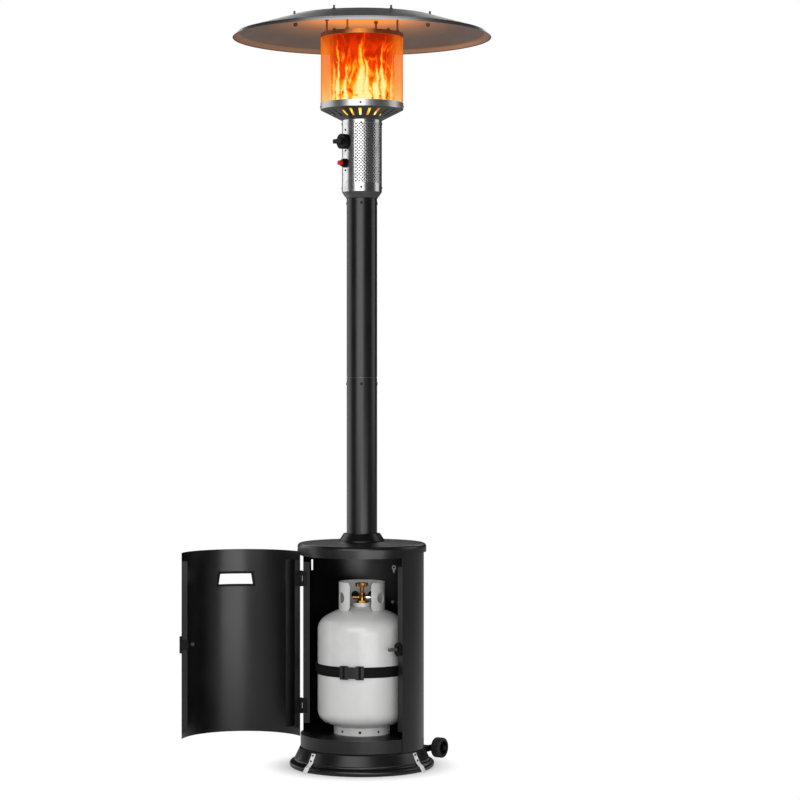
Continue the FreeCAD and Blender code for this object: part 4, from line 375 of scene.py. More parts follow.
@dataclass(frozen=True)
class PlatedSteel:
    """Bright plated small parts with faint scuffs."""

    name: str = "bright plated steel"
    colour: Colour = (0.72, 0.72, 0.73)
    roughness: float = 0.2
    metallic: float = 1.0

    def material(self) -> bpy.types.Material:
        """Make the material.

        Returns:
            The material.
        """
        paint = Paint(self.name)
        scuffs = paint.noise(paint.place(), 420.0, 5.0, 0.7)
        clouds = paint.noise(paint.place(), 60.0, 3.0)
        darker = tuple(part * 0.6 for part in self.colour)
        return paint.finish(Base_Color=paint.mix(clouds.rise(0.4, 0.8), self.colour, darker),
                            Metallic=self.metallic,
                            Roughness=scuffs * 0.2 + (self.roughness - 0.08),
                            Normal=paint.bump(scuffs, 0.00003, 0.5))


@dataclass(frozen=True)
class Brass:
    """Machined brass with darker, duller patches."""

    name: str = "machined brass"
    colour: Colour = (0.40, 0.20, 0.055)
    roughness: float = 0.22

    def material(self) -> bpy.types.Material:
        """Make the material.

        Returns:
            The material.
        """
        paint = Paint(self.name)
        clouds = paint.noise(paint.place(), 90.0, 4.0, 0.6)
        marks = paint.noise(paint.barrel(30.0, 1400.0), 1.0, 2.0)
        colour = paint.mix(clouds.rise(0.35, 0.65), self.colour, (0.10, 0.045, 0.012))
        return paint.finish(Base_Color=colour, Metallic=1.0,
                            Roughness=clouds * 0.2 + (self.roughness - 0.08),
                            Normal=paint.bump(marks, 0.00003, 0.5))


@dataclass(frozen=True)
class Plastic:
    """Moulded plastic with a fine spark-eroded grain."""

    name: str
    colour: Colour
    roughness: float = 0.42
    grain: float = 0.00005
    shine: float = 0.5

    def material(self) -> bpy.types.Material:
        """Make the material.

        Returns:
            The material.
        """
        paint = Paint(self.name)
        at = paint.place()
        grain = paint.noise(at, 1800.0, 2.0)
        clouds = paint.noise(at, 45.0, 3.0)
        lighter = tuple(min(1.0, part * 1.5 + 0.004) for part in self.colour)
        return paint.finish(Base_Color=paint.mix(clouds.rise(0.4, 0.8) * 0.6, self.colour, lighter),
                            Roughness=clouds * 0.14 + (self.roughness - 0.06),
                            Specular_IOR_Level=self.shine,
                            Normal=paint.bump(grain, self.grain, 0.6))


@dataclass(frozen=True)
class BucklePlastic:
    """Black moulded plastic with a slot through each end for the webbing and a ribbed middle.

    The slots are painted near black as shade, and the ribbed middle is painted in stripes of shade
    and highlight.
    """

    name: str = "buckle plastic"
    middle: float = radians(21.1)
    slot: float = radians(9.7)
    half_slot: float = radians(1.8)
    rib_shade_stripes: float = 700.0
    radius: float = 0.14

    def material(self) -> bpy.types.Material:
        """Make the material.

        Returns:
            The material.
        """
        paint = Paint(self.name)
        bearing, height, _ = paint.split(paint.barrel())
        away = abs(bearing - self.middle)
        # Painted shade: the slot through each end is painted near black
        slot = away.near(self.slot, self.half_slot).rise(0.0, 0.3)
        bars = away.rise(self.slot - 2.7 * self.half_slot, self.slot - 2.3 * self.half_slot)
        # Painted shade and highlight: the ribbed middle is stripes of darker and lighter colour,
        # with no relief
        rib_shade_stripes = ((bearing * self.radius + height) * self.rib_shade_stripes).sine() * 0.5 + 0.5
        grain = paint.noise(paint.place(), 1500.0, 2.0)
        colour = paint.mix(bars, paint.mix(rib_shade_stripes, (0.006, 0.006, 0.006), (0.022, 0.022, 0.022)),
                           (0.017, 0.017, 0.017))
        return paint.finish(Base_Color=paint.mix(slot, colour, (0.0003, 0.0003, 0.0003)),
                            Roughness=grain * 0.1 + slot * 0.4 + 0.4,
                            Specular_IOR_Level=0.25,
                            Normal=paint.bump(grain + (1.0 - slot) * 4.0, 0.0002, 0.6))


@dataclass(frozen=True)
class Rubber:
    """Matt black rubber, greyer where it is worn."""

    name: str = "black rubber"
    colour: Colour = (0.012, 0.012, 0.012)

    def material(self) -> bpy.types.Material:
        """Make the material.

        Returns:
            The material.
        """
        paint = Paint(self.name)
        at = paint.place()
        grain = paint.noise(at, 700.0, 3.0)
        wear = paint.noise(at, 70.0, 4.0, 0.7).rise(0.5, 0.8)
        return paint.finish(Base_Color=paint.mix(wear * 0.5, self.colour, (0.05, 0.049, 0.047)),
                            Roughness=wear * 0.15 + 0.6,
                            Normal=paint.bump(grain, 0.0001, 0.7))


@dataclass(frozen=True)
class PiercedSteel:
    """Brushed stainless steel with a staggered field of small round holes, painted as dark shade.
    """

    name: str = "pierced stainless steel"
    radius: float = 0.0587
    bottom: float = 1.7097
    top: float = 1.886
    pitch: float = 0.0105
    row: float = 0.0098
    hole: float = 0.0023
    plain_bearing: float = radians(-21.5)
    plain_half_angle: float = radians(34.0)
    whole_steps: float = 500.0

    def material(self) -> bpy.types.Material:
        """Make the material.

        The holes sit on two lattices, the second half a step along and half a step up from
        the first. A hole's mask is the distance to the nearest lattice point. Whole steps are
        added, so that no place has a negative number before its fraction is taken.

        Returns:
            The material.
        """
        paint = Paint(self.name)
        columns = round(tau * self.radius / self.pitch)
        bearing, height, _ = paint.split(paint.barrel())
        nearest = []
        for offset in (0.0, 0.5):
            across = bearing * (columns / tau) + (offset + self.whole_steps)
            upwards = (height - self.bottom) / self.row + (offset + self.whole_steps)
            x = (across.maths("FRACT", across) - 0.5) * self.pitch
            y = (upwards.maths("FRACT", upwards) - 0.5) * self.row
            nearest.append((x * x + y * y) ** 0.5)
        distance = bearing.maths("MINIMUM", *nearest)
        field = (height.rise(self.bottom, self.bottom + 0.001)
                 * height.rise(self.top, self.top - 0.001))
        away = abs(bearing - self.plain_bearing).rise(self.plain_half_angle,
                                                      self.plain_half_angle + 0.02)
        # Painted shade: the holes are not cut; they are painted near black, as the dark inside seen
        # through them
        hole = distance.rise(self.hole * 1.15, self.hole * 0.85) * field * away
        rim = distance.rise(self.hole * 1.9, self.hole * 1.1) * field * away
        marks = paint.noise(paint.barrel(*Grain.UPWARDS.value), 1.0, 4.0, 0.65)
        clouds = paint.noise(paint.place(), 60.0, 5.0, 0.65)
        # Painted shade: the pierced field's steel is darker than the plain zone, the holes' shade
        # spread over it
        pierced = paint.mix(away, (0.80, 0.80, 0.80), (0.56, 0.56, 0.56))
        steel = paint.mix(clouds.rise(0.4, 0.8) * 0.5 + marks * 0.2, pierced, (0.20, 0.20, 0.20))
        return paint.finish(
            Base_Color=paint.mix(hole, steel, (0.006, 0.006, 0.006)),
            Metallic=1.0 - hole, Roughness=clouds * 0.16 + marks * 0.1 + 0.12 + hole * 0.3,
            Normal=paint.bump(clouds * 0.15 + marks * 0.1 + (1.0 - rim), 0.0003, 0.6))


@dataclass(frozen=True)
class HeatedDish:
    """Spun aluminium, browned and painted darker underneath, with painted orange burner light."""

    name: str = "spun aluminium"
    burner_light_inner: float = 0.1
    burner_light_outer: float = 0.305
    rim_light_band: float = 0.358
    lip_highlight: float = 0.3735
    edge: float = 0.3755

    def material(self) -> bpy.types.Material:
        """Make the material.

        A point is underneath where its normal points down. The underside is painted darker, partly
        its browned tint and partly painted shade, with a warmer, lighter ring near its edge that is
        painted rim light and a dark edge that is painted shade; the outer side has a painted
        highlight along its outer rim. Near the burner the underside carries painted orange burner
        light.

        Returns:
            The material.
        """
        paint = Paint(self.name)
        radius = paint.split(paint.barrel())[2]
        normal = paint.node("NewGeometry", {}, {}, "Normal")
        below = paint.split(normal)[2].rise(0.1, -0.1)
        turned = paint.noise(paint.join(radius * 900.0, 0.0, 0.0), 1.0, 3.0, 0.6)
        clouds = paint.noise(paint.place(), 9.0, 5.0, 0.6)
        # heat: share of painted orange burner light on the underside, 1 near the burner and 0
        # towards the rim
        heat = radius.rise(self.burner_light_outer, self.burner_light_inner) * below
        metal = paint.mix(clouds.rise(0.35, 0.8) * 0.5 + turned * 0.15, (0.60, 0.59, 0.58),
                          (0.33, 0.32, 0.31))
        # Underside colour: browned tint darkened further as painted shade, with a painted rim light
        # ring near the edge
        underside_tint_shade_and_light = paint.mix(radius.rise(self.rim_light_band, self.rim_light_band + 0.004), (0.25, 0.155, 0.11),
                           (0.52, 0.25, 0.13))
        # Painted shade: a dark line at the very edge of the underside
        underside_tint_shade_and_light = paint.mix(radius.rise(self.edge, self.edge + 0.002), underside_tint_shade_and_light, (0.05, 0.04, 0.035))
        top_and_shaded_underside = paint.mix(below * (clouds * 0.16 + 0.84), metal, underside_tint_shade_and_light)
        # Painted highlight: a bright line along the outer rim, on the upper side only
        lip_highlight = radius.rise(self.lip_highlight, self.lip_highlight + 0.0015) * (1.0 - below)
        # Painted orange burner light: emission that stands in for the flames' light falling on the
        # underside
        glow = paint.ramp(heat, ((0.0, (0.0, 0.0, 0.0)), (0.3, (0.14, 0.045, 0.008)),
                                 (0.65, (0.42, 0.115, 0.006)), (1.0, (0.90, 0.25, 0.006))))
        return paint.finish(Base_Color=paint.mix(lip_highlight * 0.7, top_and_shaded_underside, (0.85, 0.85, 0.84)),
                            Metallic=1.0,
                            Roughness=turned * 0.14 + clouds * 0.12 + below * 0.12 + 0.2,
                            Emission_Color=glow, Emission_Strength=1.0,
                            Normal=paint.bump(turned, 0.00004, 0.5))


@dataclass(frozen=True)
class WarmSteel:
    """Browned steel at the emitter's top, glowing where the tallest flame licks it."""

    name: str = "heat browned steel"
    glow: Colour = (0.06, 0.008, 0.001)
    lick: float = radians(30.0)
    reach: float = radians(24.0)

    def material(self) -> bpy.types.Material:
        """Make the material.

        Returns:
            The material.
        """
        paint = Paint(self.name)
        bearing, _, _ = paint.split(paint.barrel())
        clouds = paint.noise(paint.place(), 30.0, 4.0, 0.6)
        marks = paint.noise(paint.barrel(*Grain.AROUND.value), 1.0, 3.0)
        colour = paint.mix(clouds, (0.07, 0.04, 0.028), (0.16, 0.10, 0.07))
        licked = (bearing + clouds * 0.5 - 0.25).near(self.lick, self.reach).rise(0.0, 1.3)
        glow = paint.mix(licked, paint.mix(clouds.rise(0.3, 0.7), self.glow,
                                           tuple(part * 1.8 for part in self.glow)),
                         (1.0, 0.30, 0.02))
        return paint.finish(Base_Color=colour, Metallic=1.0, Roughness=marks * 0.2 + 0.35,
                            Emission_Color=glow, Emission_Strength=1.0,
                            Normal=paint.bump(marks, 0.00004, 0.5))


@dataclass(frozen=True)
class HotMesh:
    """Woven wire of the emitter, with an orange haze between its wires.

    The haze is thicker in two wide bands and thicker still in two narrow bars, a painted glow at
    the bearings where a camera at bearing 33.5 degrees sees the mesh edge-on. Their middles and
    reaches are in degrees.
    """

    name: str = "glowing wire mesh"
    radius: float = 0.121
    bottom: float = 1.946
    height: float = 0.192
    cell: float = 0.0046
    row_share: float = 0.866
    edge_on_glow_middles: tuple[float, float] = (-56.5, 123.5)
    edge_on_glow_reach: float = 75.0
    edge_on_bar_middles: tuple[float, float] = (-51.0, 118.0)
    edge_on_bar_reach: float = 15.0

    def material(self) -> bpy.types.Material:
        """Make the material.

        The wires are the edges of hexagon cells whose middles stand in staggered rows.

        Returns:
            The material.
        """
        paint = Paint(self.name)
        bearing, height, _ = paint.split(paint.barrel())
        cells = paint.node("TexVoronoi",
                           {"voronoi_dimensions": "2D", "feature": "DISTANCE_TO_EDGE"},
                           {"Vector": self.lattice(paint, bearing, height), "Scale": 1.0,
                            "Randomness": 0.0}, "Distance")
        wire = cells.rise(0.17, 0.09)
        rise = (height - self.bottom) / self.height
        haze = paint.noise(paint.join(bearing * 2.5, height * 12.0, 0.0), 1.0, 3.0)
        # Painted glow: two wide bands where a camera at bearing 33.5 degrees sees the mesh edge-on
        edge_on_glow = self.bands(bearing, self.edge_on_glow_middles, self.edge_on_glow_reach)
        hot = paint.ramp(rise + haze * 0.5 - 0.25, (
            (0.0, (1.0, 0.62, 0.14)), (0.3, (1.0, 0.36, 0.04)), (0.75, (0.95, 0.22, 0.015)),
            (1.0, (0.55, 0.10, 0.01))))
        red = paint.mix(rise.rise(0.7, 1.0), (0.93, 0.055, 0.001), (0.50, 0.03, 0.001))
        deep = paint.mix(edge_on_glow, red, hot)
        # Painted glow: two narrow brighter strips inside those bands
        edge_on_bar = self.bands(bearing, self.edge_on_bar_middles, self.edge_on_bar_reach)
        glow = paint.mix(wire * 0.4, deep, (0.70, 0.05, 0.001))
        return paint.finish(Base_Color=(0.02, 0.008, 0.003), Specular_IOR_Level=0.0, Roughness=0.6,
                            Emission_Color=paint.mix(edge_on_bar, glow, (0.86, 0.16, 0.003)),
                            Emission_Strength=1.0,
                            Alpha=wire * 0.30 + edge_on_glow * (haze * 0.2 + 0.33) + edge_on_bar * 0.25 + 0.24)

    def bands(self, bearing: Wire, middles: tuple[float, float], reach: float) -> Wire:
        """Give two smooth upright bands.

        Args:
            bearing: the bearing, in radians.
            middles: the bands' own bearings, in degrees.
            reach: how far a band goes to either side, in degrees.

        Returns:
            1 in the bands, 0 away from them.
        """
        first, second = (bearing.near(radians(middle), radians(reach)).rise(0.2, 0.6)
                         for middle in middles)
        return first + second

    def lattice(self, paint: Paint, bearing: Wire, height: Wire) -> Wire:
        """Give sheared coordinates that turn square cells into hexagons.

        Args:
            paint: the material's nodes.
            bearing: the bearing, in radians.
            height: the height, in metres.

        Returns:
            The coordinates, with a cell as their unit.
        """
        across = bearing * (self.radius / self.cell)
        upwards = height / (self.cell * self.row_share)
        row = upwards.maths("FLOOR", upwards)
        shifted = across + row.maths("MODULO", row, 2.0) * 0.5
        return paint.join(shifted, upwards, 0.0)


@dataclass(frozen=True)
class Tongue:
    """One tongue of flame: where it stands, how it leans and how far it tapers."""

    bearing: float
    width: float
    top: float
    lean: float = 0.0
    heat: float = 1.0


TONGUES = (
    Tongue(-30.0, 7.0, 0.80, 5.0, 0.8), Tongue(-16.0, 7.0, 1.02, 5.0, 1.0),
    Tongue(2.0, 6.0, 0.66, 3.0, 1.0), Tongue(28.0, 15.0, 1.05, 6.0, 1.06),
    Tongue(44.0, 8.0, 0.78, -5.0, 1.1), Tongue(59.0, 7.0, 0.60, 5.0, 1.0),
    Tongue(77.0, 8.0, 1.0, -10.0, 1.0), Tongue(100.0, 6.0, 0.95, 4.0, 0.8),
    Tongue(128.0, 10.0, 0.8, 6.0, 1.1), Tongue(152.0, 8.0, 1.05, -5.0, 1.0),
    Tongue(178.0, 16.0, 1.0, 6.0, 1.3), Tongue(-52.0, 8.0, 0.75, 5.0, 1.0),
    Tongue(-75.0, 12.0, 1.0, -6.0, 1.2), Tongue(-98.0, 8.0, 0.7, 4.0, 1.0),
    Tongue(-122.0, 15.0, 1.0, 6.0, 1.3), Tongue(-150.0, 8.0, 0.8, -4.0, 1.0),
)


@dataclass(frozen=True)
class Flames:
    """Tongues of flame on a red glow that rise from the burner."""

    name: str = "flames"
    bottom: float = 1.946
    height: float = 0.192
    heat: float = 0.78

    def material(self) -> bpy.types.Material:
        """Make the material.

        Every tongue is a wedge round its own leaning middle line, hottest at its foot; the
        hottest one at a point gives the colour there. A noise bends and frays them all.

        Returns:
            The material.
        """
        paint = Paint(self.name)
        bearing, height, _ = paint.split(paint.barrel())
        rise = (height - self.bottom) / self.height
        sway = paint.noise(paint.join(bearing * 3.0, height * 18.0, 3.0), 1.0, 2.0) - 0.5
        fray = paint.noise(paint.join(bearing * 12.0, height * 40.0, 1.0), 1.0, 3.0, 0.6) - 0.5
        leaning = bearing + sway * 0.36 + fray * 0.09
        threads = paint.noise(paint.join(leaning * 3.6, height * 11.0, 7.3), 1.0, 1.5, 0.4)
        heat = threads.near(0.5, 0.05) * (0.52 - rise * 0.2)
        for tongue in TONGUES:
            heat = heat.maths("MAXIMUM", heat, self.wedge(tongue, leaning, rise))
        low = rise.rise(0.7, 0.1)
        blobs = paint.noise(paint.join(bearing * 5.0, height * 60.0, 9.0), 1.0, 2.0)
        embers = blobs.rise(0.5, 0.68) * rise.near(0.06, 0.16)
        patches = paint.noise(paint.join(bearing * 4.0, height * 34.0, 5.0), 1.0, 3.0, 0.55)
        ground = (patches.rise(0.7, 0.35) * 0.2 + low * 0.4 + fray * 0.16
                  - rise.rise(0.75, 1.0) * 0.1)
        colour = paint.ramp(ground + heat * self.heat - embers * 0.62, (
            (0.0, (0.18, 0.002, 0.0)), (0.14, (0.52, 0.010, 0.0)), (0.32, (0.76, 0.07, 0.002)),
            (0.5, (1.0, 0.33, 0.01)), (0.7, (1.0, 0.70, 0.05)), (0.95, (0.95, 1.0, 0.42))))
        return paint.finish(Base_Color=(0.0, 0.0, 0.0), Roughness=1.0, Specular_IOR_Level=0.0,
                            Emission_Color=colour, Emission_Strength=1.4)

    def wedge(self, tongue: Tongue, bearing: Wire, rise: Wire) -> Wire:
        """Give one tongue's heat, 0 outside it.

        Args:
            tongue: the tongue.
            bearing: the bent bearing, in radians.
            rise: the share of the flames' height.

        Returns:
            The heat.
        """
        middle = rise * radians(tongue.lean) + radians(tongue.bearing)
        left = 1.0 - rise / tongue.top
        half = left.maths("MAXIMUM", left, 0.0) * radians(tongue.width) + 0.012
        share = 1.0 - abs(bearing - middle) / half
        core = share.maths("MINIMUM", share.maths("MAXIMUM", share, 0.0) * 1.25, 1.0)
        return core * left.rise(0.0, 0.3) * (left * 0.45 + 0.55) * tongue.heat


@dataclass(frozen=True)
class Webbing:
    """Black woven webbing, by the strap's own length and width coordinates in metres."""

    name: str = "black webbing"
    thread: float = 0.0016

    def material(self) -> bpy.types.Material:
        """Make the material.

        Returns:
            The material.
        """
        paint = Paint(self.name)
        along, across, _ = paint.split(paint.node("TexCoord", {}, {}, "UV"))
        waves = pi / self.thread
        weft = (along * waves).sine()
        warp = (across * waves).sine()
        weave = weft * warp * 0.5 + 0.5
        fuzz = paint.noise(paint.place(), 1500.0, 3.0, 0.7)
        colour = paint.mix(weave * 0.6 + fuzz * 0.4, (0.0015, 0.0015, 0.0015),
                           (0.009, 0.009, 0.0095))
        return paint.finish(Base_Color=colour, Roughness=0.72 + fuzz * 0.15,
                            Specular_IOR_Level=0.12,
                            Normal=paint.bump(weave + fuzz * 0.3, 0.0003, 0.8))


@dataclass(frozen=True)
class PaleFloor:
    """Pale floor that keeps the heater's shadow and fades into the white background."""

    name: str = "pale floor"
    shadow_start: float = 0.19
    shadow_end: float = 0.30
    least_white: float = 0.3

    def material(self) -> bpy.types.Material:
        """Make the material.

        Returns:
            The material.
        """
        paint = Paint(self.name)
        speck = paint.noise(paint.place(), 40.0, 3.0)
        far = paint.split(paint.barrel())[2].rise(self.shadow_start, self.shadow_end)
        camera = paint.node("LightPath", {}, {}, "Is Camera Ray")
        through = paint.node("LightPath", {}, {}, "Is Transmission Ray")
        seen = camera.maths("MAXIMUM", camera, through)
        white = paint.node("Emission", {}, {"Color": (1.0, 1.0, 1.0)}, "Emission")
        paint.finish(Base_Color=paint.mix(speck, (0.80, 0.80, 0.80), (0.78, 0.78, 0.78)),
                     Roughness=0.9, Specular_IOR_Level=0.1)
        base = Wire(paint.tree, paint.shader.outputs[0])
        share = seen * (far * (1.0 - self.least_white) + self.least_white)
        mixed = paint.node("MixShader", {}, {0: share, 1: base, 2: white})
        output = paint.tree.nodes["Material Output"]
        paint.tree.links.new(mixed.socket, output.inputs["Surface"])
        return paint.material


POWDER = PowderCoat()
SEAMED_POWDER = PowderCoat("satin black coat with a joint line", seam=0.058)
LID_POWDER = PowderCoat("satin black lid coat", (0.003, 0.003, 0.0032), 0.3, 0.00003)
TANK_PAINT = GlossPaint()
STAINLESS = WorkedMetal("brushed stainless steel", (0.50, 0.50, 0.50), 0.36, Grain.AROUND,
                        (0.4, 0.4, 0.4))
DULL_STEEL = WorkedMetal("burner steel", (0.36, 0.34, 0.32), 0.42, Grain.AROUND,
                         (0.2, 0.15, 0.11), 0.6)
PLATED = PlatedSteel()
CLIP_STEEL = PlatedSteel("zinc plated clip steel", (0.86, 0.86, 0.86), 0.4, 0.25)
BLACK_SCREW = Plastic("blackened steel", (0.003, 0.003, 0.0032), 0.5, 0.00001, 0.18)
DARK_STEEL = WorkedMetal("darkened steel", (0.10, 0.10, 0.105), 0.36, Grain.AROUND,
                         (0.05, 0.045, 0.04), 0.5)
BLACK_PLASTIC = Plastic("black plastic", (0.002, 0.002, 0.0021), 0.48, shine=0.14)
GREY_PLASTIC = Plastic("grey plastic", (0.06, 0.06, 0.058))
RED_PLASTIC = Plastic("red plastic", (0.62, 0.006, 0.012), 0.35, 0.00001, 0.15)

FINISHES = {
    SEAMED_POWDER: ("base_ring", "bottom_band"),
    POWDER: ("tank_shelf", "cabinet_shell", "top_ring", "wheel_arms",
             "door_panel", "pole_flange", "pole_lower", "pole_upper"),
    LID_POWDER: ("cabinet_lid",),
    TANK_PAINT: ("tank_body", "tank_foot_ring", "tank_collar"),
    STAINLESS: ("emitter_band",),
    DARK_STEEL: ("head_collar", "vent_cone", "dish_studs", "latch_stud"),
    PiercedSteel(): ("head_housing",),
    HeatedDish(): ("reflector",),
    WarmSteel(): ("emitter_top_ring", "reflector_posts"),
    DULL_STEEL: ("pole_sleeve", "mixer_tube", "burner_plate", "burner_cup", "pilot_assembly"),
    CLIP_STEEL: ("base_clips",),
    PLATED: ("hose_hook", "rear_bolts", "outlet_cap", "pole_flange_bolts", "knob_spindle"),
    BLACK_SCREW: ("base_clip_screws", "jamb_hinge_leaves", "door_hinge_leaves", "latch_screws",
                  "pole_screws", "sheet_screws", "wheel_axle", "hinge_pins"),
    BLACK_PLASTIC: ("catch_body", "handle_trim", "latch_bracket", "control_knob",
                    "igniter_body", "igniter_bezel", "left_wheel_hub", "right_wheel_hub"),
    BucklePlastic(): ("strap_buckle",),
    GREY_PLASTIC: ("catch_plunger",),
    RED_PLASTIC: ("igniter_button",),
    Brass(): ("tank_valve", "tank_handwheel", "control_valve"),
    Rubber(): ("left_wheel_tyre", "right_wheel_tyre"),
}


def skin(name: str, points: np.ndarray, wrap: bool = False) -> bpy.types.Object:
    """Make an object from a grid of points.

    Args:
        name: the object's name.
        points: rows by columns by 3, in metres; rows run up, columns run with growing bearing.
        wrap: whether the last column joins the first.

    Returns:
        The object, made of four-sided faces.
    """
    rows, columns = points.shape[:2]
    numbers = np.arange(rows * columns).reshape(rows, columns)
    if wrap:
        numbers = np.concatenate([numbers, numbers[:, :1]], axis=1)
    corners = (numbers[:-1, :-1], numbers[:-1, 1:], numbers[1:, 1:], numbers[1:, :-1])
    quads = np.stack(corners, axis=-1).reshape(-1, 4)
    mesh = bpy.data.meshes.new(name)
    mesh.from_pydata(points.reshape(-1, 3), [], quads)
    mesh.shade_smooth()
    made = bpy.data.objects.new(name, mesh)
    bpy.context.scene.collection.objects.link(made)
    return made


def bearings(count: int) -> np.ndarray:
    """Give evenly spaced bearings round a whole turn, in radians."""
    return np.linspace(0.0, tau, count, endpoint=False)


def revolved(radii: np.ndarray, heights: np.ndarray, turns: np.ndarray) -> np.ndarray:
    """Carry a profile round the pole's axis.

    Args:
        radii: the profile's distances from the axis; rows, or rows by columns.
        heights: its heights, shaped alike.
        turns: the columns' bearings.

    Returns:
        The grid of points (r sin b, -r cos b, z).
    """
    radii = np.broadcast_to(radii.reshape(len(radii), -1), (len(radii), len(turns)))
    heights = np.broadcast_to(heights.reshape(len(heights), -1), radii.shape)
    return np.stack([radii * np.sin(turns), -radii * np.cos(turns), heights], axis=-1)


@dataclass
class Emitter:
    """The wire mesh cylinder and the flames inside it."""

    radius: float = 0.1208
    bottom: float = 1.9462
    height: float = 0.1918
    flame_bottom: float = 1.9467
    flame_height: float = 0.1912
    flame_radius: float = 0.094
    flare: float = 0.0235
    flare_start: float = 0.62
    swell: float = 0.0025
    throat_radius: float = 0.0565
    throat_bottom: float = 1.8885
    throat_top: float = 1.9262
    throat_flame_height: float = 0.12
    throat_heat: float = 0.4
    columns: int = 180
    throat_columns: int = 96
    mesh_rows: int = 25
    flame_rows: int = 49
    throat_rows: int = 5

    def build(self) -> None:
        """Make the mesh skin and the flames."""
        levels = np.linspace(self.bottom, self.bottom + self.height, self.mesh_rows)
        points = revolved(np.full(levels.shape, self.radius), levels, bearings(self.columns))
        mesh = skin("emitter_mesh", points, wrap=True)
        mesh.data.materials.append(HotMesh().material())
        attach(mesh, "heater")
        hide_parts("emitter_screen")
        log.info("%s: %d faces", mesh.name, len(mesh.data.polygons))
        self.flames()
        self.glow()

    def flames(self) -> None:
        """Make the flames, a tube that two crossed waves swell and that flares at its top."""
        turns = bearings(self.columns)
        share = np.linspace(0.0, 1.0, self.flame_rows)[:, None]
        waves = np.sin(5 * turns + 6.0 * share) + np.sin(8 * turns - 9.0 * share)
        flare = np.clip((share - self.flare_start) / (1.0 - self.flare_start), 0.0, 1.0) ** 2
        radii = self.flame_radius + self.flare * flare + self.swell * waves * share * (1.0 - flare)
        levels = self.flame_bottom + share * self.flame_height
        points = revolved(radii, np.broadcast_to(levels, radii.shape), turns)
        flames = skin("burner_flames", points, wrap=True)
        flames.data.materials.append(Flames().material())
        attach(flames, "heater")
        log.info("%s: %d faces", flames.name, len(flames.data.polygons))

    def glow(self) -> None:
        """Make the glowing throat that is seen through the slots of the cone."""
        levels = np.linspace(self.throat_bottom, self.throat_top, self.throat_rows)
        points = revolved(np.full(levels.shape, self.throat_radius), levels,
                          bearings(self.throat_columns))
        throat = skin("burner_glow", points, wrap=True)
        fire = Flames("glow of the throat", self.throat_bottom, self.throat_flame_height,
                      self.throat_heat)
        throat.data.materials.append(fire.material())
        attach(throat, "heater")
        log.info("%s: %d faces", throat.name, len(throat.data.polygons))


@dataclass
class TankStrap:
    """The webbing round the front of the tank and its straight ends to the side walls.

    Its section is a rounded box; the smaller its powers are, the squarer it is.
    """

    bearing: float = radians(33.5)
    height: float = 0.288
    width: float = 0.031
    thickness: float = 0.0018
    tank_radius: float = 0.130
    clearance: float = 0.0003
    wrap: float = radians(85.0)
    wall_radius: float = 0.1805
    wall_gap: float = 0.0015
    thickness_power: float = 0.6
    width_power: float = 0.25
    arc_points: int = 121
    run_points: int = 24
    section_points: int = 28

    def route(self) -> np.ndarray:
        """Work out the middle line, an arc with a straight run at each end.

        Returns:
            Its points seen from above, rows by 2, in metres.
        """
        radius = self.tank_radius + self.clearance + self.thickness / 2
        reach = sqrt((self.wall_radius - self.wall_gap) ** 2 - radius ** 2)
        turns = np.linspace(-self.wrap, self.wrap, self.arc_points)
        arc = np.stack([radius * np.sin(turns), -radius * np.cos(turns)], axis=-1)
        along = np.stack([np.cos(turns[[0, -1]]), np.sin(turns[[0, -1]])], axis=-1)
        steps = np.linspace(1.0, 0.0, self.run_points, endpoint=False)[:, None] * reach
        first = arc[0] - along[0] * steps
        last = arc[-1] + along[1] * steps[::-1]
        flat = np.concatenate([first, arc, last])
        cosine, sine = np.cos(self.bearing), np.sin(self.bearing)
        return flat @ np.array([[cosine, sine], [-sine, cosine]])

    def section(self) -> tuple[np.ndarray, np.ndarray]:
        """Work out the closed outline of the webbing's section.

        Returns:
            Its points' offsets outwards and upwards, in metres.
        """
        turns = bearings(self.section_points)
        sine, cosine = np.sin(turns), np.cos(turns)
        outwards = np.sign(sine) * np.abs(sine) ** self.thickness_power * self.thickness / 2
        upwards = np.sign(cosine) * np.abs(cosine) ** self.width_power * self.width / 2
        return outwards, upwards

    def build(self) -> None:
        """Sweep the section along the route and give it length and width coordinates."""
        route = self.route()
        ahead = np.gradient(route, axis=0)
        ahead /= np.linalg.norm(ahead, axis=1)[:, None]
        aside = np.stack([ahead[:, 1], -ahead[:, 0]], axis=-1)
        outwards, upwards = self.section()
        ground = route[:, None, :] + aside[:, None, :] * outwards[None, :, None]
        levels = np.broadcast_to(self.height + upwards, ground.shape[:2])
        points = np.concatenate([ground, levels[..., None]], axis=-1)
        strap = skin("strap_webbing", points, wrap=True)
        length = np.concatenate([[0.0], np.cumsum(np.linalg.norm(np.diff(route, axis=0), axis=1))])
        corner = np.empty(len(strap.data.loops), dtype=int)
        strap.data.loops.foreach_get("vertex_index", corner)
        columns = len(upwards)
        places = np.stack([length[corner // columns], upwards[corner % columns]], axis=-1)
        strap.data.uv_layers.new(name="webbing").data.foreach_set("uv", places.ravel())
        strap.data.materials.append(Webbing().material())
        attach(strap, "heater")
        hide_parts("tank_strap")
        log.info("%s: %d faces", strap.name, len(strap.data.polygons))


@dataclass
class Metalwork:
    """The CAD nodes whose shapes are right and only take a finish."""

    def build(self) -> None:
        """Give each node its finish."""
        for finish, nodes in FINISHES.items():
            material = finish.material()
            for name in nodes:
                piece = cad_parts[name]
                piece.data.materials.clear()
                piece.data.materials.append(material)
            log.info("%s: %s", finish.name, ", ".join(nodes))


